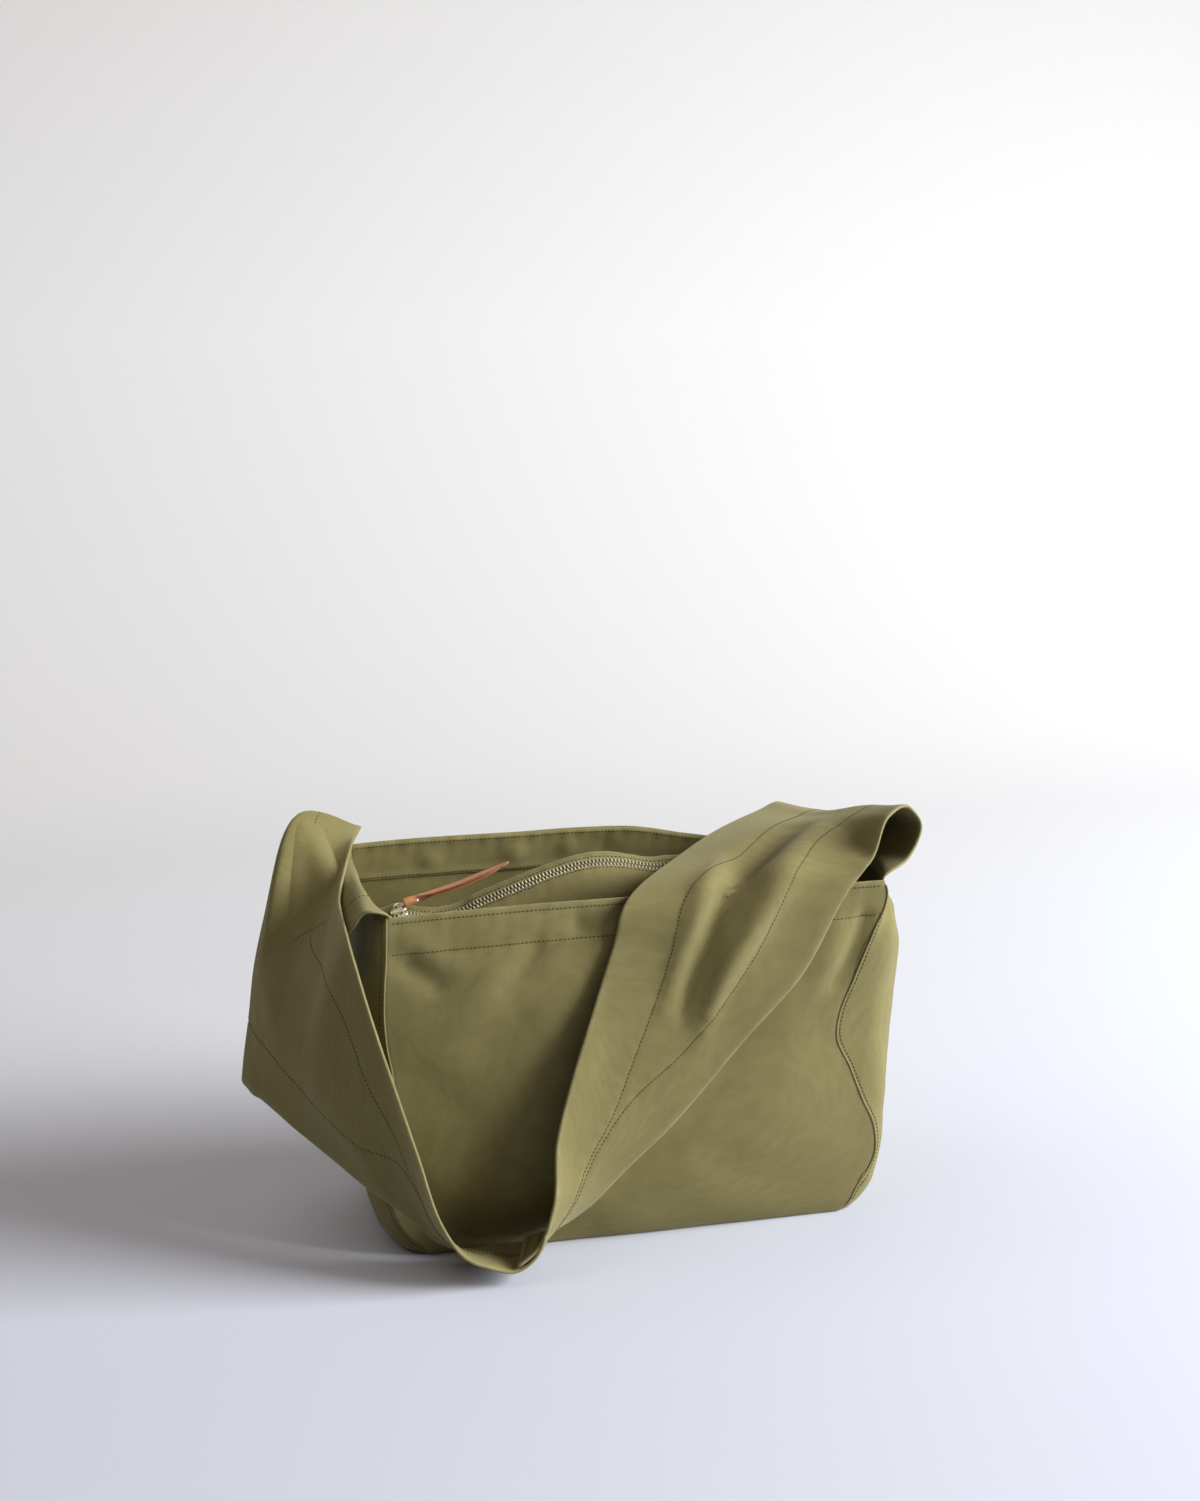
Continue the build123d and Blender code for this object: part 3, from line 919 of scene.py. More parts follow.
@dataclass
class Seams:
    """The four upright seams, each as rows of (height, x, y) in millimetres."""

    front_right: tuple = ((0, 160, -79), (5, 166, -81), (16, 171, -83), (27, 177, -84),
                          (38, 184, -85), (55, 187, -86), (74, 184, -87), (95, 174, -88),
                          (125, 162, -88), (145, 153, -88), (161, 154, -89), (188, 164, -90),
                          (211, 173, -91), (230, 181, -91), (243, 187, -91), (256, 189, -91),
                          (264, 187, -91))
    front_left: tuple = ((0, -152, -79), (5, -158, -81), (12, -165, -82), (22, -174, -83),
                         (40, -182, -84), (60, -185, -85), (95, -182, -86), (133, -180, -88),
                         (164, -185, -89), (194, -187, -90), (230, -185, -91), (264, -184, -91))
    back_right: tuple = ((0, 160, 79), (8, 168, 81), (30, 178, 84), (80, 188, 88),
                         (150, 192, 94), (210, 190, 99), (264, 184, 102))
    back_left: tuple = ((0, -160, 79), (8, -168, 81), (30, -178, 84), (80, -188, 88),
                        (150, -192, 94), (210, -190, 99), (264, -184, 102))

    def line(self, name: str) -> np.ndarray:
        """A seam's points at the shell's levels, as x, y, z."""
        return np.column_stack([at_levels(getattr(self, name)), LEVELS])


@dataclass
class Panel:
    """The front or back panel between its two seams."""

    name: str
    left: np.ndarray
    right: np.ndarray
    outward: int
    belly: tuple
    rim: tuple = ((-184, 0), (184, 0))
    creases: tuple[Crease, ...] = ()
    thick: float = 1.5
    rows: int = 96
    columns: int = 124
    hem_rows: tuple[float, float] = (4.0, 27.0)

    def stations(self) -> list[np.ndarray]:
        """A line across the panel at each level, swollen in the middle."""
        belly = at_levels(self.belly)[:, 0]
        rim = np.array(self.rim, float)
        lines = []
        for k, level in enumerate(LEVELS):
            a, b = self.left[k], self.right[k]
            share = np.linspace(0, 1, 9)[:, None]
            line = a + (b - a) * share
            swell = 1 - np.abs(2 * share[:, 0] - 1) ** 2.1
            line[:, 1] += -self.outward * belly[k] * swell
            lift = smooth(rim[:, 1], rim[:, 0], np.clip(line[:, 0], rim[0, 0], rim[-1, 0]))
            line[:, 2] += lift * (level / LEVELS[-1]) ** 5
            lines.append(line)
        return lines

    def sew(self, finishes: Finishes, thread: Thread) -> Sheet:
        """Build the panel, its facing's stitch rows and its thread.

        Args:
            finishes: The bag's finishes.
            thread: The thread that sews the facing.

        Returns:
            The panel's sheet, for the pieces that lie on it.
        """
        sheet = Sheet(self.name, loft(self.stations(), self.rows, self.columns),
                      self.outward, self.thick)
        sheet.ripple(0.6, 88, 0.7 * self.outward + 2)
        sheet.press(self.creases)
        for k, inset in enumerate(self.hem_rows):
            sheet.pucker(Edge.END, inset, 0.45, 1.3 + k)
        sheet.lay(finishes.canvas, "stretched", ["bottom_panel"])
        thread.sew(self.name, [thread.along(sheet, sheet.row(Edge.END, inset, 0.012, 0.988))
                               for inset in self.hem_rows])
        return sheet


@dataclass
class SideStrip:
    """One end gusset and the half of the strap that is cut in one with it.

    Each row of the swell is a height, then how far out the gusset stands at the rear shoulder,
    the middle, the front shoulder and the front corner.
    """

    side: Side
    front: np.ndarray
    back: np.ndarray
    swell: tuple
    strap: tuple[Station, ...]
    creases: tuple[Crease, ...] = ()
    shoulder: float = 0.62
    corner: float = 0.93
    thick: float = 1.6
    hem: float = 43.0
    hem_thick: float = 0.9
    rows: int = 330
    columns: int = 62
    topstitch: float = 5.0
    tuck: float = 1.4
    lap_rows: tuple[float, float] = (4.0, 14.0)

    def stations(self) -> list[np.ndarray]:
        """Lines across the gusset from the back seam to the front, then the strap's."""
        reach = at_levels(self.swell)
        sign = self.side.value
        lines = []
        for level, back, front, (rear, middle, fore, corner) in zip(
                LEVELS[:-1], self.back, self.front, reach):
            line = np.array([
                back, (sign * rear, back[1] * self.shoulder, level), (sign * middle, 0, level),
                (sign * fore, front[1] * self.shoulder, level),
                (sign * corner, front[1] * self.corner, level),
                (sign * corner * 0.4 + front[0] * 0.6, front[1] * 0.985 + 1, level), front])
            line[0] -= (sign * self.tuck, self.tuck / 2, 0)
            line[-1] -= (sign * self.tuck, -self.tuck / 2, 0)
            lines.append(line)
        return lines + [np.array(s, float) for s in self.strap]

    def sew(self, finishes: Finishes, thread: Thread) -> Sheet:
        """Build the strip with its hems, seams and thread, and return its sheet."""
        label = self.side.label
        sheet = Sheet(f"strap_and_gusset_{label}",
                      loft(self.stations(), self.rows, self.columns), -self.side.value, self.thick)
        sheet.ripple(0.7, 58, 1.9 * self.side.value)
        sheet.press(self.creases)
        mouth = self.mouth_share(sheet)
        for k, edge in enumerate((Edge.NEAR, Edge.FAR)):
            sheet.pucker(edge, self.hem, 0.35, 0.8 + k)
        sheet.turn_hems(self.hem, self.hem_thick, mouth)
        sheet.lay(finishes.canvas, "draped", ["front_panel", "back_panel"],
                  f"gusset_{label}", f"strap_{label}")
        frames = []
        doubled = []
        for edge in (Edge.NEAR, Edge.FAR):
            frames.append(thread.along(sheet, sheet.row(edge, self.topstitch, 0.015, mouth)))
            doubled.append(sheet.row(edge, self.hem, mouth + 0.005, 0.985))
        if self.side is Side.RIGHT:
            doubled += [sheet.row(Edge.END, inset, 0.04, 0.96) for inset in self.lap_rows]
        frames += [thread.along(sheet, spots, face) for spots in doubled for face in Face]
        thread.sew(sheet.name, frames)
        return sheet

    @staticmethod
    def mouth_share(sheet: Sheet) -> float:
        """Share of the strip's rows that belong to the gusset."""
        middle = sheet.grid[:, sheet.grid.shape[1] // 2, 2]
        return float(np.argmax(middle > LEVELS[-1] * MM)) / len(middle)


@dataclass(frozen=True)
class Welt:
    """The turned edge that stands up along a front seam as a thin ridge."""

    radius: float = 0.8
    proud: tuple[float, float] = (0.7, -0.75)
    rows: int = 212
    short: int = 2
    taper: int = 4
    sides: int = 8
    lowest: tuple[int, int] = (5, 1)

    def press(self, side: Side, seam: np.ndarray, finishes: Finishes) -> None:
        """Run the ridge up a seam.

        Args:
            side: The end of the bag that the seam is on.
            seam: The seam's points in millimetres.
            finishes: The bag's finishes.
        """
        first = self.lowest[side is Side.RIGHT]
        line = evenly(seam[first:], self.rows)[:-self.short]
        line = line + (side.value * self.proud[0], self.proud[1], 0)
        way = unit(np.gradient(line, axis=0))
        aside = unit(np.cross(way, (0.0, 1.0, 0.0)))
        frames = np.stack([line, way, np.cross(aside, way)], 1)
        turns = np.linspace(0, math.tau, self.sides, endpoint=False)
        count = np.arange(len(line))
        ends = np.minimum(count, count[::-1]) / self.taper
        shrink = np.sqrt(np.clip(ends, 0.05, 1))[:, None, None] * self.radius
        local = np.column_stack([np.zeros(self.sides), -np.cos(turns), np.sin(turns)])
        rings = line[:, None] + (on_frames(frames, local) - line[:, None]) * shrink
        index = np.arange(len(line) * self.sides).reshape(len(line), self.sides)
        nxt = np.roll(index, -1, axis=1)
        quads = np.stack([index[:-1], nxt[:-1], nxt[1:], index[1:]], -1).reshape(-1, 4)
        maps = np.stack([np.broadcast_to(turns * self.radius * MM, index.shape),
                         np.broadcast_to(lengths(line * MM)[:, None], index.shape)], -1)
        caps = [index[0, [0, k + 2, k + 1, k]] for k in (1, 3, 5)]
        caps += [index[-1, [0, k, k + 1, k + 2]] for k in (1, 3, 5)]
        piece = mesh_object(f"seam_ridge_{side.label}", rings.reshape(-1, 3) * MM,
                            np.concatenate([quads, np.array(caps)]), maps.reshape(-1, 2),
                            np.full(index.size, 0.75))
        finish_piece(piece, finishes.canvas, Body.BAG)


@dataclass
class Floor:
    """The bag's bottom panel, inside the four walls, as rows of (y, left x, right x)."""

    lines: tuple[Point, ...] = ((-78, -150, 158), (-71, -161, 167), (-55, -168, 172),
                                (0, -171, 175), (55, -169, 173), (71, -164, 168), (78, -158, 160))
    height: float = 2.0
    thick: float = 1.5

    def sew(self, finishes: Finishes) -> None:
        """Build the bottom panel."""
        stations = [[(x, y, self.height) for x in np.linspace(a, b, 7)] for y, a, b in self.lines]
        sheet = Sheet("bottom_panel", loft(stations, 44, 90), -1, self.thick)
        sheet.lay(finishes.canvas, "laid", ["front_panel", "back_panel"])


@dataclass
class Linings:
    """Facings inside the rims and the tapes over the raw seam edges."""

    facing_rows: tuple[float, float] = (0.895, 0.9975)
    facing_columns: tuple[float, float] = (0.006, 0.994)
    facing_thick: float = 0.9
    facing_room: float = 0.04
    tape_thick: float = 1.1
    tape_share: float = 0.066
    tape_room: float = 0.15
    tape_top: float = 0.88
    base_rows: tuple[float, float] = (0.014, 0.058)
    base_columns: tuple[float, float] = (0.05, 0.95)

    def sew_facing(self, panel: Sheet, name: str, finishes: Finishes, thread: Thread) -> None:
        """Lay the facing inside a panel's rim, with its two rows of stitches."""
        depth = (panel.thick + self.facing_thick) / 2 + self.facing_room
        sheet = panel.band(name, self.facing_rows, self.facing_columns, depth, self.facing_thick,
                           (16, 124))
        rows = ((Edge.START, 1.6, 0.5), (Edge.END, 2.4, 2.5))
        for edge, inset, phase in rows:
            sheet.pucker(edge, inset, 0.4, phase)
        sheet.lay(finishes.canvas, "stretched", [panel.name])
        thread.sew(name, [thread.along(sheet, sheet.row(edge, inset, 0.01, 0.99), Face.INNER)
                          for edge, inset, _ in rows])

    def sew_tapes(self, strip: Sheet, side: Side, finishes: Finishes) -> None:
        """Bind the two upright seams of one gusset."""
        rows = (0.006, SideStrip.mouth_share(strip) * self.tape_top)
        for place, columns in (("front", (1 - self.tape_share, 0.994)),
                               ("back", (0.006, self.tape_share))):
            self.bind(strip, f"{place}_{side.label}_seam_binding", rows, columns, (70, 6), finishes)

    def sew_base(self, panel: Sheet, name: str, finishes: Finishes) -> None:
        """Bind a panel's bottom seam."""
        self.bind(panel, name, self.base_rows, self.base_columns, (6, 90), finishes)

    def bind(self, under: Sheet, name: str, rows: tuple[float, float],
             columns: tuple[float, float], shape: tuple[int, int], finishes: Finishes) -> None:
        """Lay one binding tape on a sheet's inner face.

        Args:
            under: The sheet that the tape is sewn to.
            name: Name of the tape.
            rows: First and last share of the sheet's rows.
            columns: First and last share of its columns.
            shape: Rows and columns of the tape's grid.
            finishes: The bag's finishes.
        """
        depth = (under.thick + self.tape_thick) / 2 + self.tape_room
        sheet = under.band(name, rows, columns, depth, self.tape_thick, shape)
        sheet.lay(finishes.binding, "stretched", ["front_panel"])


# ---- the zipped pocket --------------------------------------------------------------
@dataclass
class Zip:
    """The zip: its line, tapes, teeth and stops."""

    centre: float = -15.0
    line: tuple = ((-182, 236.6), (-172, 240.2), (-163, 241.8), (-150, 238.5), (-138, 236.8),
                   (-124, 237.2), (-104, 245.5), (-75, 255.5), (-50, 264), (-28, 269.5), (-8, 271),
                   (10, 268.9), (24, 265.9), (34, 264.4), (44, 264.9), (80, 261.8),
                   (120, 254.6), (150, 246.95), (172, 240.1), (182, 236.7))
    half: float = 170.0
    pitch: float = 2.8
    tape_half: float = 176.0
    teeth_gap: float = 0.3
    tooth: tuple[float, float, float] = (1.0, 2.7, 2.6)
    stop: tuple[float, float, float] = (2.2, 2.9, 2.6)
    stop_room: float = 2.6
    roll: float = 26.0
    tapes: tuple = (("front", ((-0.4, -0.2), (-3.0, -1.6), (-6.2, -3.9), (-12.0, -10))),
                    ("back", ((0.4, 0.2), (3.0, 1.3), (6.3, 2.6), (12.0, 3.2))))
    tape_thick: float = 0.8

    def height(self, x: Sequence[float] | np.ndarray) -> np.ndarray:
        """Heights of the zip's line at each x, in millimetres."""
        table = np.array(self.line)
        return smooth(table[:, 1], table[:, 0], x)

    def frames(self, phase: float) -> np.ndarray:
        """Middle, direction and normal of every tooth in one row."""
        x = np.linspace(-self.half, self.half, 1200)
        points = np.column_stack([x, np.full_like(x, self.centre), self.height(x)])
        run = lengths(points)
        at = np.arange(phase * self.pitch, run[-1] - self.pitch / 2, self.pitch)
        where = read_line(points, run, at)
        way = unit(read_line(points, run, at + 1) - where)
        up = np.column_stack([-way[:, 2], np.zeros(len(way)), way[:, 0]])
        turn = math.radians(self.roll)
        up = up * math.cos(turn) + np.array([0, -1, 0]) * math.sin(turn)
        return np.stack([where, way, up], 1)

    def make_tooth(self) -> tuple[np.ndarray, list[tuple[int, ...]]]:
        """Shape one tooth in edit mode: a clamped root and a bevelled, waisted head.

        Returns:
            The tooth's points in millimetres and its faces.
        """
        depth = self.tooth[1]
        piece = add_block("tooth", self.tooth)
        with editing(piece):
            pick_faces(piece, lambda c: c.y < -depth * 0.45)
            bpy.ops.mesh.inset(thickness=0.22)
            bpy.ops.transform.translate(value=(0, -0.35, 0))
            pick_faces(piece, lambda c: c.y > depth * 0.45)
            bpy.ops.transform.resize(value=(0.8, 1, 0.72))
            round_all(0.16, 1)
        points = np.array([v.co for v in piece.data.vertices])
        faces = [tuple(f.vertices) for f in piece.data.polygons]
        bpy.data.objects.remove(piece)
        return points, faces

    def add_teeth(self, finishes: Finishes) -> None:
        """Clamp both rows of teeth on the tapes' edges."""
        points, faces = self.make_tooth()
        aside = self.teeth_gap + self.tooth[1] / 2 + 0.2
        for name, sign, phase in (("front", -1, 0.0), ("back", 1, 0.5)):
            local = points * (1, -sign, 1) + (0, sign * aside, 0)
            placed = on_frames(self.frames(phase), local) * MM
            turned = [f[::-sign] for f in faces]
            every = [[k * len(points) + v for v in f] for k in range(len(placed)) for f in turned]
            mesh = bpy.data.meshes.new(f"zip_teeth_{name}")
            mesh.from_pydata(placed.reshape(-1, 3).tolist(), [], every)
            finish_piece(add_object(mesh), finishes.metal, Body.BAG, f"zip_teeth_{name}")

    def add_tapes(self, finishes: Finishes) -> None:
        """Weave the two tapes that carry the teeth."""
        x = np.linspace(-self.tape_half, self.tape_half, 40)
        for name, marks in self.tapes:
            stations = [[(a, self.centre + y, h + z) for y, z in marks]
                        for a, h in zip(x, self.height(x))]
            sheet = Sheet(f"zip_tape_{name}", loft(stations, 180, 10), 1, self.tape_thick)
            sheet.face((0, 0, 1))
            sheet.lay(finishes.tape, "stretched", ["pouch_front", "pouch_back"])

    def add_stops(self, finishes: Finishes) -> None:
        """Crimp two top stops and one bottom stop at the ends of the rows."""
        wide = (3.0, 2 * self.stop[1] + 2 * self.teeth_gap, self.stop[2])
        tops = [self.end_block(-1, sign, self.stop) for sign in (-1, 1)]
        for parts, name in ((tops, "zip_top_stops"),
                            ([self.end_block(1, 0, wide)], "zip_bottom_stop")):
            finish_piece(join(parts, name), finishes.metal, Body.BAG, name)

    def end_block(self, end: int, sign: int, size: Point) -> bpy.types.Object:
        """A rounded metal crimp at one end of the teeth.

        Args:
            end: -1 for the left end of the zip or 1 for the right.
            sign: -1 for the front tape, 1 for the back, 0 for both.
            size: Length, depth and height in millimetres.

        Returns:
            The crimp, in place.
        """
        x = end * (self.half + self.stop_room)
        before, here, after = (float(h) for h in self.height((x - 1, x, x + 1)))
        block = add_block("crimp", size)
        with editing(block):
            round_all(0.5, 3)
        turn = Matrix.Rotation(-math.atan((after - before) / 2), 4, "Y")
        roll = Matrix.Rotation(math.radians(self.roll), 4, "X")
        aside = Matrix.Translation((0, sign * (self.teeth_gap + size[1] / 2), 0))
        place = Matrix.Translation((x, self.centre, here))
        block.data.transform(Matrix.Scale(MM, 4) @ place @ turn @ roll @ aside)
        return block


@dataclass
class Pocket:
    """The zipped pocket that hangs between the gussets."""

    zip: Zip
    reach: tuple = ((100, 195, 202), (150, 197, 206), (200, 195, 206), (228, 189, 198),
                    (245, 180, 184), (275, 176, 178))
    walls: tuple = (("pouch_front", ((-3.6, -1.2), (-6.2, -2.9), (-10.5, -6.8), (-14.4, -15),
                                     (-16, -26)), ((-17, 200), (-16, 150), (-14, 101))),
                    ("pouch_back", ((3.6, 2.2), (6.2, 3.8), (10.5, 5.2), (14.6, 3.2), (16.5, -9)),
                     ((17, 200), (16, 150), (14, 101))))
    depth: float = 100.0
    rim: float = 262.0
    thick: float = 1.2
    hem_rows: tuple[float, float] = (1.8, 5.2)

    def wall_point(self, share: float, offset: float, z: float) -> Point:
        """A point of a wall: share -1 at the left gusset, 1 at the right."""
        rows = np.array(self.reach, float)
        left, right = smooth(rows[:, 1:], rows[:, 0], np.array([z]))[0]
        return share * (right if share > 0 else left), self.zip.centre + offset, z

    def stations(self, top: tuple, low: tuple) -> list[list[Point]]:
        """Lines down one wall, from the zip's edge to the pocket's floor."""
        lines = []
        for share in np.linspace(-1, 1, 25):
            x = self.wall_point(share, 0, self.rim)[0]
            height = float(self.zip.height([x])[0])
            line = [(x, self.zip.centre + y, height + z) for y, z in top]
            lines.append(line + [self.wall_point(share, y, z) for y, z in low])
        return lines

    def sew(self, finishes: Finishes, thread: Thread) -> None:
        """Build the two walls, the floor and their stitching."""
        frames = []
        for number, (name, top, low) in enumerate(self.walls):
            sheet = Sheet(name, loft(self.stations(top, low), 130, 60), 1, self.thick)
            sheet.face((0, 2 * number - 1, 0))
            sheet.ripple(0.8, 46, 3.1 + number)
            for k, inset in enumerate(self.hem_rows):
                sheet.pucker(Edge.NEAR, inset, 0.3, 0.9 * k + number)
            sheet.lay(finishes.canvas, "hung", ["gusset_left", "gusset_right"])
            frames.append(thread.along(sheet, sheet.row(Edge.NEAR, self.hem_rows[0], 0.03, 0.97)))
        thread.sew("pocket", frames)
        lines = [[self.wall_point(s, y, self.depth) for s in np.linspace(-1, 1, 9)]
                 for y in (-13, -6, 0, 6, 13)]
        floor = Sheet("pouch_bottom", loft(lines, 12, 100), -1, self.thick)
        floor.lay(finishes.canvas, "stretched", ["pouch_front", "pouch_back"])


# ---- modelling by hand --------------------------------------------------------------
def select_only(piece: bpy.types.Object) -> None:
    """Make a piece the active object and the only selected one."""
    bpy.ops.object.select_all(action="DESELECT")
    bpy.context.view_layer.objects.active = piece
    piece.select_set(True)


@contextmanager
def editing(piece: bpy.types.Object) -> Iterator[None]:
    """Open a piece in edit mode, picking faces, and leave it at the end of the block."""
    select_only(piece)
    bpy.ops.object.mode_set(mode="EDIT")
    bpy.ops.mesh.select_mode(type="FACE")
    bpy.ops.mesh.select_all(action="SELECT")
    yield
    bpy.ops.object.mode_set(mode="OBJECT")


def add_block(name: str, size: Point, at: Point = (0, 0, 0)) -> bpy.types.Object:
    """Add a box to shape, in millimetres around the origin."""
    bpy.ops.mesh.primitive_cube_add(size=1, location=(0, 0, 0))
    block = bpy.context.object
    block.name = name
    with editing(block):
        bpy.ops.transform.resize(value=size)
        bpy.ops.transform.translate(value=at)
    return block


def pick_faces(piece: bpy.types.Object, wanted: Callable[[Vector], bool]) -> None:
    """Select the faces whose middle is wanted, in edit mode."""
    mesh = bmesh.from_edit_mesh(piece.data)
    bpy.ops.mesh.select_all(action="DESELECT")
    for face in mesh.faces:
        face.select_set(wanted(face.calc_center_median()))
    mesh.select_flush_mode()
    bmesh.update_edit_mesh(piece.data)


def pick_edges(piece: bpy.types.Object, wanted: Callable[[Vector, Vector], bool]) -> None:
    """Select the edges whose two ends are wanted, in edit mode."""
    bpy.ops.mesh.select_mode(type="EDGE")
    mesh = bmesh.from_edit_mesh(piece.data)
    bpy.ops.mesh.select_all(action="DESELECT")
    for edge in mesh.edges:
        edge.select_set(wanted(edge.verts[0].co, edge.verts[1].co))
    bmesh.update_edit_mesh(piece.data)


def round_all(radius: float, segments: int) -> None:
    """Round every edge of the piece in edit mode."""
    bpy.ops.mesh.select_all(action="SELECT")
    bpy.ops.mesh.bevel(offset=radius, segments=segments)


def round_corners(piece: bpy.types.Object, tall: float, radius: float) -> None:
    """Round the upright edges of a piece in edit mode, given how tall it is."""
    pick_edges(piece, lambda a, b: abs(a.z - b.z) > tall * 0.9)
    bpy.ops.mesh.bevel(offset=radius, segments=4)


def join(parts: Sequence[bpy.types.Object], name: str) -> bpy.types.Object:
    """Join objects into one piece and smooth it by angle."""
    select_only(parts[0])
    for part in parts[1:]:
        part.select_set(True)
    if len(parts) > 1:
        bpy.ops.object.join()
    piece = bpy.context.object
    piece.name = piece.data.name = name
    bpy.ops.object.shade_smooth_by_angle(angle=math.radians(35))
    return piece


def apply_modifier(piece: bpy.types.Object, kind: str, **settings: object) -> None:
    """Add a modifier to a piece and apply it at once."""
    select_only(piece)
    modifier = piece.modifiers.new(kind.lower(), kind)
    for key, value in settings.items():
        setattr(modifier, key, value)
    bpy.ops.object.modifier_apply(modifier=modifier.name)


def cut(piece: bpy.types.Object, tool: bpy.types.Object) -> None:
    """Cut one shape out of another."""
    apply_modifier(piece, "BOOLEAN", operation="DIFFERENCE", object=tool, solver="EXACT")
    bpy.data.objects.remove(tool)


def soften(piece: bpy.types.Object, width: float) -> None:
    """Round a piece's sharp edges."""
    apply_modifier(piece, "BEVEL", width=width, segments=2, limit_method="ANGLE")


@dataclass
class Slider:
    """The zip's slider and the tab on its bail, in millimetres along, across and above."""

    place: Point = (-163.0, -15.0, 243.05)
    tilt: float = 17.40
    lift: float = 16.0
    length: float = 11.0
    width: float = 9.0
    plate: float = 1.0
    inner: float = 1.7
    waist: float = 0.74
    corner: float = 1.8
    web: float = 0.6
    flange: tuple[float, float] = (0.7, 0.9)
    bail: tuple[float, float] = (3.4, 0.62)
    bail_foot: float = -0.6
    bail_shape: Point = (1.02, 1.45, 1.12)
    pin_rise: float = 2.7
    pin_radius: float = 0.6
    tab: Point = (11.0, 6.4, 1.0)
    tab_corner: float = 1.3
    slot: float = 2.4
    eye: tuple[float, float] = (3.2, 4.4)
    eye_corner: float = 0.8
    eye_back: float = 3.4

    def slider_frame(self) -> Matrix:
        """Millimetres along, across and above the zip, to the bag's metres."""
        turn = Matrix.Rotation(-math.radians(self.tilt), 4, "Y")
        return Matrix.Scale(MM, 4) @ Matrix.Translation(self.place) @ turn

    def pull_frame(self) -> Matrix:
        """Millimetres along, across and above the pull, from its pin."""
        pin = self.slider_frame() @ Vector((0, 0, self.inner + self.plate + self.pin_rise))
        turn = Matrix.Rotation(-math.radians(self.lift), 4, "Y")
        return Matrix.Translation(pin) @ Matrix.Scale(MM, 4) @ turn

    def make_plate(self, level: float) -> bpy.types.Object:
        """One plate of the slider: waisted, with its rear drawn in and edges turned."""
        block = add_block("plate", (self.length, self.width, self.plate), (0, 0, level))
        with editing(block):
            pick_faces(block, lambda c: c.x > self.length * 0.45)
            bpy.ops.transform.resize(value=(1, self.waist, 1))
            round_corners(block, self.plate, self.corner)
        soften(block, 0.22)
        return block

    def make_bail(self) -> bpy.types.Object:
        """The arch on top of the slider that carries the tab."""
        radius, wire = self.bail
        bpy.ops.mesh.primitive_torus_add(major_segments=32, minor_segments=10, major_radius=radius,
                                         minor_radius=wire, rotation=(math.pi / 2, 0, 0))
        bail = bpy.context.object
        bpy.ops.object.transform_apply(rotation=True)
        with editing(bail):
            bpy.ops.mesh.bisect(plane_co=(0, 0, self.bail_foot), plane_no=(0, 0, -1),
                                clear_outer=True, use_fill=True)
            bpy.ops.mesh.select_all(action="SELECT")
            bpy.ops.transform.resize(value=self.bail_shape)
            bpy.ops.transform.translate(value=(0, 0, self.inner + self.plate + 0.7))
        return bail

    def add_slider(self, finishes: Finishes) -> None:
        """Build the slider: two plates, the web between them, flanges and the bail on top."""
        middle = self.inner + self.plate / 2
        wide, tall = self.flange
        web = add_block("web", (self.length / 3, self.web, 2 * middle), (-self.length / 4, 0, 0))
        parts = [self.make_plate(middle), self.make_plate(-middle), web]
        for side in (-1, 1):
            wall = add_block("wall", (self.length * 0.55, wide, self.plate * tall),
                             (1.6, side * (self.width / 2 - 1.1), self.inner - 0.3))
            soften(wall, 0.15)
            parts.append(wall)
        piece = join([*parts, self.make_bail()], "zip_slider_body")
        piece.data.transform(self.slider_frame())
        finish_piece(piece, finishes.metal, Body.SLIDER, "zip_slider")

    def add_tab(self, finishes: Finishes) -> None:
        """Build the forked tab that swings on the bail."""
        length, width, thick = self.tab
        root = self.length / 2 - 0.4
        whole = root + length
        through = thick * 3
        block = add_block("tab", (whole, width, thick), (whole / 2, 0, 0))
        with editing(block):
            round_corners(block, thick, self.tab_corner)
        cut(block, add_block("slot", (root * 2, self.slot, through)))
        eye = add_block("eye", (*self.eye, through), (whole - self.eye_back, 0, 0))
        with editing(eye):
            round_corners(eye, through, self.eye_corner)
        cut(block, eye)
        soften(block, 0.16)
        bpy.ops.mesh.primitive_cylinder_add(vertices=20, radius=self.pin_radius, depth=width,
                                            rotation=(math.pi / 2, 0, 0))
        pin = bpy.context.object
        bpy.ops.object.transform_apply(rotation=True)
        with editing(pin):
            pick_faces(pin, lambda c: abs(c.y) > width * 0.49)
            bpy.ops.mesh.inset(thickness=0.18)
        piece = join([block, pin], "zip_pull_tab")
        piece.data.transform(self.pull_frame())
        finish_piece(piece, finishes.metal, Body.PULL, "zip_tab")


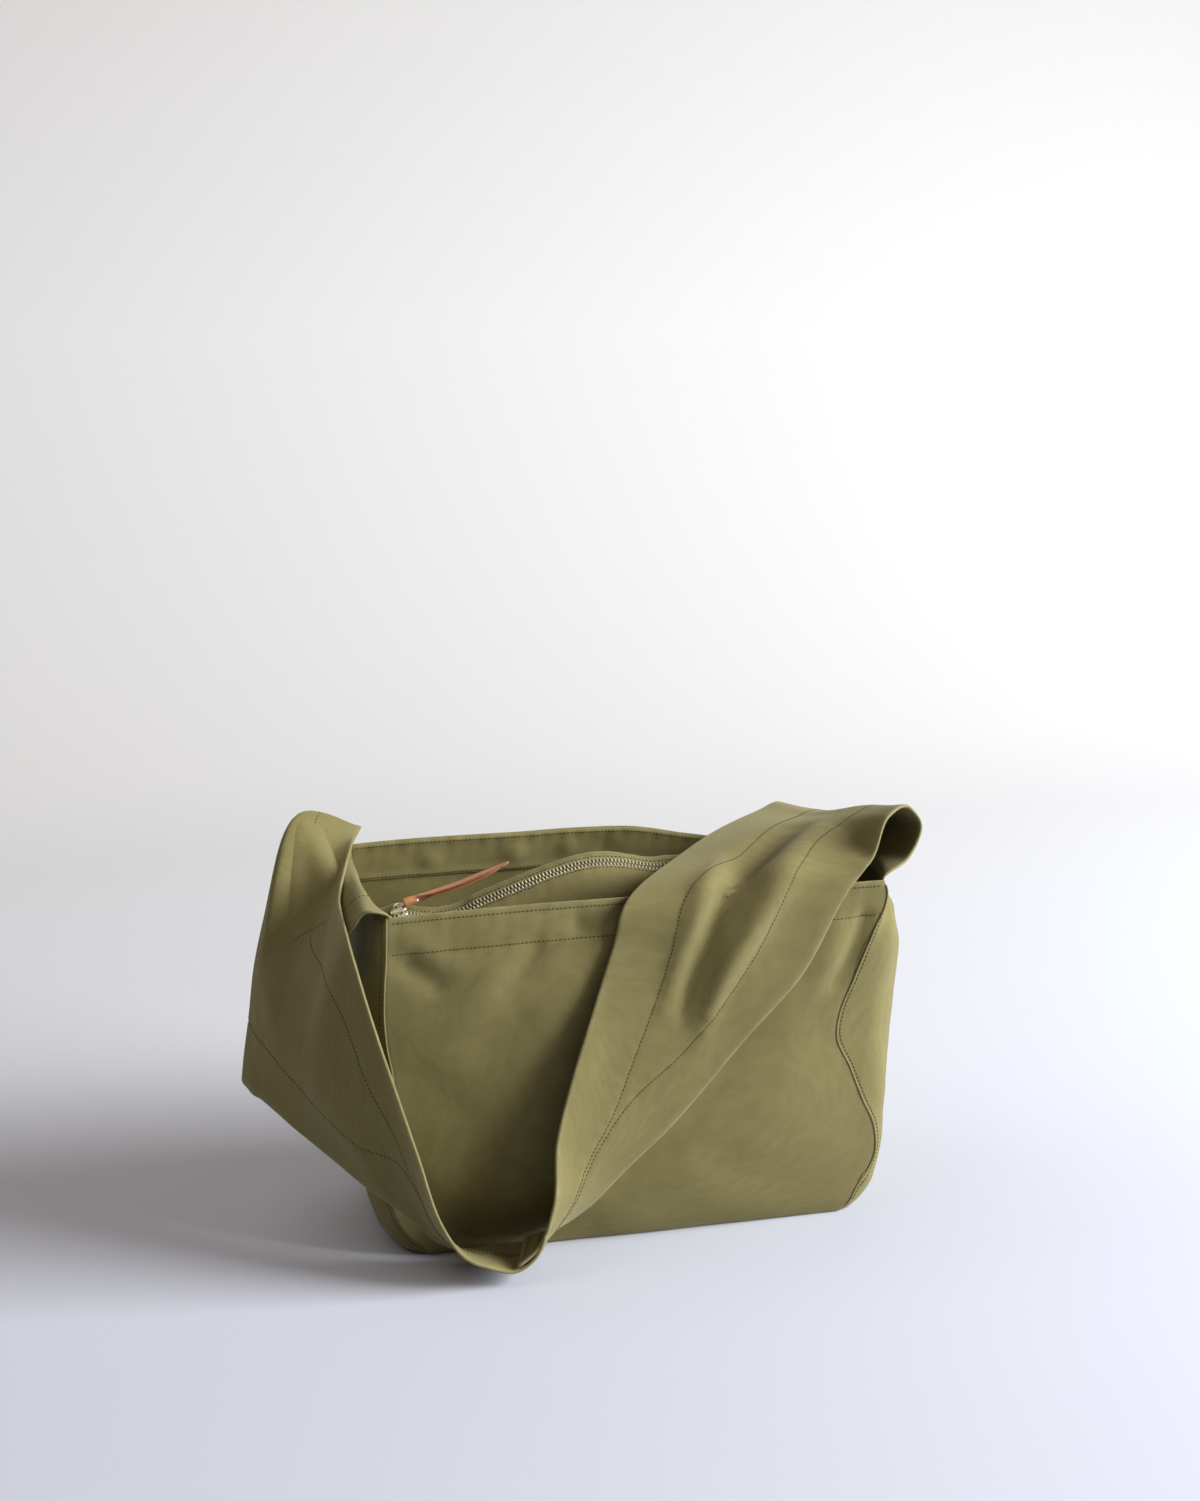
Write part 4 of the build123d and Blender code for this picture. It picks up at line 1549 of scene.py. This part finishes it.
@dataclass
class Thong:
    """The leather pull: one thong folded through the tab's eye, both tails to the right.

    Marks along it are (along, above, sideways, half width) in the pull's frame.
    """

    marks: tuple = ((88, 3.6, 1.2, 0.6), (85.5, 3.2, 1.1, 1.8), (78, 2.6, 0.6, 3.0),
                    (64, 2.0, -0.2, 3.7), (48, 1.2, -0.5, 4.0), (34, 1.0, 0.1, 3.9),
                    (25, 1.3, 0.3, 3.2), (20.5, 1.7, 0.1, 2.3), (18, 2.2, 0, 1.8),
                    (15.4, 2.0, 0, 1.8), (13.4, 0.2, 0, 1.8), (15.0, -1.75, 0, 1.8),
                    (18, -1.6, 0, 1.8), (20.5, -1.3, 0.1, 2.4), (25, -0.9, 0.3, 3.3),
                    (34, -1.0, 0.2, 4.0), (48, -0.9, -0.2, 4.1), (62, -0.2, 0.3, 3.7),
                    (74, 0.7, 1.4, 2.8), (81, 1.2, 2.0, 0.7))
    crown: float = 0.045
    thick: float = 1.5
    keeper: tuple[float, float] = (9.6, 9.4)
    keeper_reach: tuple[float, float] = (4.3, 2.7)
    keeper_rise: float = 0.3
    keeper_bow: float = 0.2
    keeper_thick: float = 0.9

    def ribbon(self) -> list[np.ndarray]:
        """Lines across the thong along its whole length."""
        marks = np.array(self.marks, float)
        way = unit(np.gradient(marks[:, :2], axis=0))
        spots = np.linspace(-1, 1, 5)
        lines = []
        for (x, z, y, half), (dx, dz) in zip(marks, way):
            bow = self.crown * half * (1 - spots ** 2)
            lines.append(np.column_stack([x - dz * bow, y + half * spots, z + dx * bow]))
        return lines

    def band(self) -> list[list[Point]]:
        """Lines across the keeper, once round the thong's neck."""
        middle, width = self.keeper
        deep, tall = self.keeper_reach
        return [[(middle + s * width / 2, deep * math.cos(a), self.keeper_rise
                  + tall * math.sin(a) + self.keeper_bow * (1 - s * s)) for s in (-1, 0, 1)]
                for a in np.linspace(0, math.tau, 41)]

    def cut_out(self, frame: Matrix, finishes: Finishes) -> None:
        """Build the thong and the keeper round its neck.

        Args:
            frame: From the pull's millimetres to the bag's metres.
            finishes: The bag's finishes.
        """
        turn = np.array(frame.to_3x3()) / MM
        origin = np.array(frame.to_translation())
        for name, lines, shape, thick, nodes in (
                ("leather_thong", self.ribbon(), (190, 11), self.thick, ["leather_pull"]),
                ("leather_keeper", self.band(), (64, 7), self.keeper_thick, [])):
            sheet = Sheet(name, loft(lines, *shape) @ turn.T + origin, 1, thick)
            sheet.face(sheet.grid - sheet.grid.mean(axis=(0, 1)))
            finish_piece(sheet.build(), finishes.leather, Body.PULL, *nodes)


# ---- stage --------------------------------------------------------------------------
@dataclass(frozen=True)
class Softbox:
    """One rectangular light, in metres and watts."""

    name: str
    place: Point
    aim: Point
    size: tuple[float, float]
    power: float
    tint: Colour

    def hang(self) -> None:
        """Put the light in the scene, facing its aim."""
        data = bpy.data.lights.new(self.name, "AREA")
        data.shape, (data.size, data.size_y) = "RECTANGLE", self.size
        data.energy, data.color = self.power, self.tint
        lamp = add_object(data)
        lamp.location = self.place
        way = Vector(self.aim) - Vector(self.place)
        lamp.rotation_euler = way.to_track_quat("-Z", "Y").to_euler()


@dataclass
class Studio:
    """A seamless pale sweep, one big window on the right, two faint lights and the camera."""

    place: Point = (-0.4115, -1.5988, 0.7105)
    yaw: float = 14.2
    pitch: float = 12.2
    lens: float = 67.5
    sensor: float = 36.0
    floor_front: float = -6.0
    floor_back: float = 1.1
    bend: float = 1.4
    wall_top: float = 4.5
    half: float = 6.0
    bend_steps: int = 12
    boxes: tuple[Softbox, ...] = (
        Softbox("window", (2.85, -1.15, 1.6), (0, 0, 0.15), (2.0, 2.0), 292, (0.97, 0.99, 1.0)),
        Softbox("ceiling", (-1.5, 0.2, 2.6), (-0.7, 0, 0), (2.6, 2.6), 30, (1.0, 0.93, 0.88)),
        Softbox("fill", (0.3, -3.6, 2.2), (0.1, -0.6, 0), (3.0, 1.6), 4, (1.0, 0.86, 0.76)))
    glow: Colour = (1.0, 0.82, 0.7)
    glow_strength: float = 0.08

    def set_camera(self) -> None:
        """Place the camera and make it the scene's."""
        data = bpy.data.cameras.new("camera")
        data.lens, data.sensor_width, data.sensor_fit = self.lens, self.sensor, "HORIZONTAL"
        data.clip_start, data.clip_end = 0.05, 50
        yaw, pitch = math.radians(self.yaw), math.radians(self.pitch)
        back = Vector((-math.sin(yaw) * math.cos(pitch), -math.cos(yaw) * math.cos(pitch),
                       math.sin(pitch)))
        across = Vector((0, 0, 1)).cross(back).normalized()
        turn = Matrix((across, back.cross(across), back)).transposed()
        camera = add_object(data)
        camera.matrix_world = Matrix.Translation(self.place) @ turn.to_4x4()
        bpy.context.scene.camera = camera

    def lay_sweep(self) -> None:
        """Floor that bends up into a backdrop, in one sheet."""
        profile = [(self.floor_front, 0.0), (-1.0, 0.0), (self.floor_back, 0.0)]
        for a in np.linspace(0, math.pi / 2, self.bend_steps + 1)[1:]:
            profile.append((self.floor_back + self.bend * math.sin(a),
                            self.bend * (1 - math.cos(a))))
        profile.append((self.floor_back + self.bend, self.wall_top))
        points = np.array([(x, y, z) for y, z in profile for x in (-self.half, self.half)])
        faces = np.array([(k, k + 1, k + 3, k + 2) for k in range(0, len(points) - 2, 2)])
        sweep = mesh_object("sweep", points, faces)
        sweep.data.materials.append(Plaster("sweep_paper").make())

    def light(self) -> None:
        """Hang the lights and set the faint glow of the room."""
        for box in self.boxes:
            box.hang()
        world = bpy.data.worlds.new("surround")
        world.use_nodes = True
        glow = world.node_tree.nodes["Background"].inputs
        glow[0].default_value = (*self.glow, 1)
        glow[1].default_value = self.glow_strength
        bpy.context.scene.world = world
        bpy.context.scene.view_settings.view_transform = "Standard"


# ---- the bag's own shapes -----------------------------------------------------------
RIGHT_STRAP: tuple[Station, ...] = (
    ((184, 100, 266), (188, 45, 267), (193, -10, 267), (194, -60, 267), (187, -90, 266)),
    ((179, 94, 275), (195, 36, 276), (208, -22, 278), (212, -76, 276)),
    ((169, 86, 282), (193, 36, 285), (215, -16, 293), (225, -68, 297)),
    ((160, 78, 286), (177, 34, 288), (201, -14, 301), (215, -68, 313)),
    ((140, 60, 285), (159, 18, 288), (179, -30, 301), (192, -84, 312)),
    ((98, 22, 283), (129, -16, 289), (159, -52, 296), (178, -93, 287)),
    ((48, -32, 278), (84, -58, 282), (122, -82, 284), (168, -98, 276)),
    ((-8, -97, 268), (48, -98, 269), (100, -99, 270), (150, -102, 255)),
    ((-22, -102, 232), (26, -103, 225), (74, -104, 216), (122, -103, 204)),
    ((-38, -109, 190), (0, -107, 170), (40, -105, 152), (76, -103, 154)),
    ((-60, -121, 134), (20, -103, 92)),
    ((-71, -131, 98), (-12, -101, 62)),
    ((-76, -142, 56), (-42, -95, 30)),
    ((-89, -145, 25), (-69, -90, 13)),
    ((-103, -146, 14.5), (-86, -91, 10.5)),
)
LEFT_STRAP: tuple[Station, ...] = (
    ((-184, 100, 266), (-189, 45, 267), (-192, -15, 266), (-190, -60, 265), (-184, -90, 264)),
    ((-185, 96, 272), (-196, 45, 269), (-198, -15, 264), (-196, -90, 267)),
    ((-184, 93, 277), (-207, 48, 281), (-209, -4, 254), (-206, -80, 254)),
    ((-182, 90, 281), (-217, 51, 295), (-224, 8, 246), (-211, -62, 236)),
    ((-180, 87, 283), (-224, 52, 303), (-243, 18, 243), (-232, -34, 195)),
    ((-178, 85, 284), (-226, 53, 305), (-255, 26, 238), (-262, -8, 148)),
    ((-177, 83, 285), (-228, 50, 305), (-259, 27, 231), (-280, 0, 123)),
    ((-181, 73, 283), (-231, 43, 292), (-261, 14, 222), (-277, -12, 115)),
    ((-190, 46, 281), (-232, 26, 256), (-261, -2, 206), (-269, -24, 111)),
    ((-200, 14, 270), (-233, -2, 230), (-259, -22, 188), (-259, -36, 104)),
    ((-209, -22, 261), (-235, -30, 212), (-253, -42, 164), (-248, -46, 95)),
    ((-213, -58, 260), (-234, -56, 196), (-244, -60, 142), (-235, -56, 85)),
    ((-214, -92, 254), (-230, -79, 193), (-233, -75, 120), (-222, -66, 75)),
    ((-209, -103, 232), (-219, -92, 166), (-219, -87, 104), (-208, -78, 64)),
    ((-200, -111, 196), (-207, -102, 139), (-205, -96, 88), (-194, -88, 54)),
    ((-187, -121, 149), (-180, -94, 44)),
    ((-173, -133, 100), (-167, -99, 33)),
    ((-159, -145, 52), (-151, -102, 18)),
    ((-144, -149, 28), (-131, -101, 10)),
    ((-126, -148, 17), (-109, -96, 9)),
    ((-103, -146, 11), (-86, -91, 7)),
    ((-87.6, -146, 24), (-68.2, -91, 11.4)),
    ((-83, -145, 35), (-62, -92, 16)),
)


FRONT_CREASES: tuple[Crease, ...] = (
    Crease(((-45, -93, 248, -3.2, 8),)),
    Crease(((-170, -92, 226, -3.6, 9), (-160, -93, 219, -3.0, 8), (-150, -93, 211, -2.2, 8))),
    Crease(((-165, -93, 243, 1.8, 10), (-150, -93, 232, 1.6, 10), (-132, -93, 224, 0.8, 9))),
    Crease(((-78, -93, 232, -2.6, 8), (-87, -93, 219, -2.6, 9), (-98, -93, 207, -1.4, 9))),
    Crease(((-112, -93, 214, 1.6, 14), (-124, -93, 192, 1.6, 16), (-138, -93, 168, 0.8, 16))),
    Crease(((-92, -93, 178, -1.6, 13), (-112, -93, 164, -1.8, 15), (-134, -93, 156, -0.8, 14))),
    Crease(((-52, -93, 208, 1.6, 12), (-66, -93, 188, 1.4, 14), (-80, -93, 168, 0.6, 14))),
    Crease(((-160, -92, 140, -1.5, 16), (-140, -92, 118, -1.8, 20), (-118, -92, 96, -0.8, 18))),
    Crease(((-150, -88, 62, 2.2, 18), (-110, -88, 48, 2.4, 20), (-60, -88, 34, 1.0, 18))),
    Crease(((-120, -88, 30, -2.0, 12), (-80, -88, 22, -2.2, 14), (-40, -88, 16, -1.0, 12))),
    Crease(((172, -92, 236, -3.2, 7), (162, -92, 208, -3.6, 8), (151, -92, 190, -2.4, 8))),
    Crease(((150, -92, 232, 2.0, 10), (142, -92, 206, 2.2, 12), (134, -92, 182, 1.0, 12))),
    Crease(((92, -94, 176, -1.8, 14), (70, -94, 146, -2.4, 15), (27, -93, 92, -2.0, 16),
            (-6, -92, 62, -1.0, 14))),
    Crease(((120, -93, 150, 1.2, 20), (110, -93, 110, 1.6, 26), (90, -92, 70, 1.0, 24))),
    Crease(((60, -90, 58, -1.4, 18), (100, -90, 40, -1.4, 18), (140, -88, 34, -0.6, 16))),
)
RIGHT_CREASES: tuple[Crease, ...] = (
    Crease(((136, -24, 291, -4.0, 14), (114, -44, 288, -9.0, 14), (91, -69, 282, -12.0, 13),
            (69, -98, 270, -10.5, 11), (55, -103, 250, -7.0, 9), (45, -103, 228, -4.5, 7.5),
            (35, -104, 207, -3.2, 6), (29, -105, 186, -2.4, 5), (27, -105, 168, -0.4, 5))),
    Crease(((150, -50, 295, 1.5, 12), (127, -73, 287, 3.5, 13), (99, -100, 265, 6.0, 12),
            (80, -103, 238, 7.5, 11), (63, -104, 213, 7.5, 10), (50, -105, 187, 5.5, 9),
            (42, -105, 157, 1.0, 8))),
    Crease(((72, -64, 280, 2.0, 10), (46, -98, 269, 4.0, 10), (34, -103, 241, 3.2, 9),
            (23, -104, 212, 3.0, 8), (14, -106, 183, 1.5, 8))),
    Crease(((-40, -112, 186, 0.5, 12), (-52, -116, 150, 1.8, 14), (-62, -126, 112, 0.8, 12))),
    Crease(((194, -80, 246, -3.5, 6), (188, -82, 227, -3.5, 6), (181, -84, 214, -1.5, 6))),
    Crease(((203, -60, 236, 2.5, 9), (208, -30, 222, 2.0, 12), (210, 10, 214, 0.8, 14))),
    Crease(((205, -50, 170, -1.6, 16), (206, -20, 140, -2.0, 20), (204, 20, 110, -1.0, 20))),
    Crease(((176, -84, 30, 1.8, 7), (186, -74, 22, 1.2, 8))),
)
LEFT_CREASES: tuple[Crease, ...] = (
    Crease(((-216, 40, 296, 0.8, 12), (-240, 0, 262, 1.6, 16), (-244, -44, 180, 1.6, 18),
            (-222, -84, 110, 0.8, 16))),
    Crease(((-196, 40, 282, -1.0, 8), (-218, 6, 270, -1.8, 10), (-222, -50, 225, -1.8, 12),
            (-206, -104, 150, -1.0, 12))),
    Crease(((-250, -30, 160, -1.6, 14), (-232, -60, 124, -1.8, 14), (-196, -92, 84, -0.8, 12))),
)
BACK_CREASES: tuple[Crease, ...] = (
    Crease(((-120, 100, 250, -2.2, 8),)),
    Crease(((-52, 100, 252, -2.6, 9),)),
    Crease(((-8, 100, 254, -2.2, 8),)),
    Crease(((22, 100, 250, 2.0, 9),)),
    Crease(((60, 98, 190, 2.0, 30), (20, 96, 130, 2.0, 36), (-40, 92, 80, 1.0, 30))),
    Crease(((-140, 98, 210, -2.0, 22), (-90, 96, 150, -2.2, 26), (-60, 92, 90, -1.0, 24))),
)


FRONT_BELLY = ((0, 1), (10, 4), (30, 8), (70, 11), (120, 11.5), (180, 9), (230, 5), (264, 1))
FRONT_RIM = ((-184, -2.6), (-160, -1.6), (-120, -0.3), (184, 0))
BACK_BELLY = ((0, 1), (10, 3), (70, 7), (150, 8), (230, 3), (264, 0))
BACK_RIM = ((-184, 2), (-127, 4), (-63, 4), (19, 4), (62, 1), (92, -6), (114, -12), (150, -10),
            (184, 0))
RIGHT_SWELL = ((0, 173, 176, 176, 170), (6, 181, 184, 184, 176), (20, 189, 193, 193, 184),
               (45, 194, 198, 199, 192), (75, 197, 201, 201, 193), (110, 201, 206, 207, 191),
               (145, 204, 211, 210, 186), (180, 205, 213, 212, 190), (212, 203, 211, 213, 196),
               (240, 196, 204, 203, 193), (258, 190, 196, 196, 190), (264, 188, 192, 193, 189))
LEFT_SWELL = ((0, 170, 172, 172, 162), (6, 178, 180, 180, 170), (20, 185, 188, 188, 180),
              (45, 190, 194, 195, 188), (75, 194, 197, 198, 191), (110, 197, 199, 199, 190),
              (180, 198, 201, 200, 192), (212, 196, 199, 198, 191), (240, 191, 193, 193, 189),
              (264, 186, 188, 190, 187))


def main() -> None:
    """Build the bag, piece by piece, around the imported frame."""
    logging.basicConfig(level=logging.INFO, format="%(message)s")
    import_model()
    studio = Studio()
    studio.set_camera()
    studio.lay_sweep()
    studio.light()
    finishes = Finishes()
    thread = Thread(finishes.thread)
    linings = Linings()
    seams = Seams()
    front_left, front_right = seams.line("front_left"), seams.line("front_right")
    back_left, back_right = seams.line("back_left"), seams.line("back_right")

    for face, panel in (
            ("front", Panel("front_panel", front_left, front_right, 1, FRONT_BELLY, FRONT_RIM,
                            FRONT_CREASES)),
            ("back", Panel("back_panel", back_left, back_right, -1, BACK_BELLY, BACK_RIM,
                           BACK_CREASES))):
        sheet = panel.sew(finishes, thread)
        linings.sew_facing(sheet, f"{face}_facing", finishes, thread)
        linings.sew_base(sheet, f"{face}_base_binding", finishes)
    Floor().sew(finishes)
    for strip in (SideStrip(Side.RIGHT, front_right, back_right, RIGHT_SWELL, RIGHT_STRAP,
                            RIGHT_CREASES),
                  SideStrip(Side.LEFT, front_left, back_left, LEFT_SWELL, LEFT_STRAP,
                            LEFT_CREASES)):
        linings.sew_tapes(strip.sew(finishes, thread), strip.side, finishes)
    welt = Welt()
    welt.press(Side.LEFT, front_left, finishes)
    welt.press(Side.RIGHT, front_right, finishes)

    closure = Zip()
    closure.add_tapes(finishes)
    closure.add_teeth(finishes)
    closure.add_stops(finishes)
    Pocket(closure).sew(finishes, thread)
    slider = Slider()
    slider.add_slider(finishes)
    slider.add_tab(finishes)
    Thong().cut_out(slider.pull_frame(), finishes)


if __name__ == "__main__":
    main()
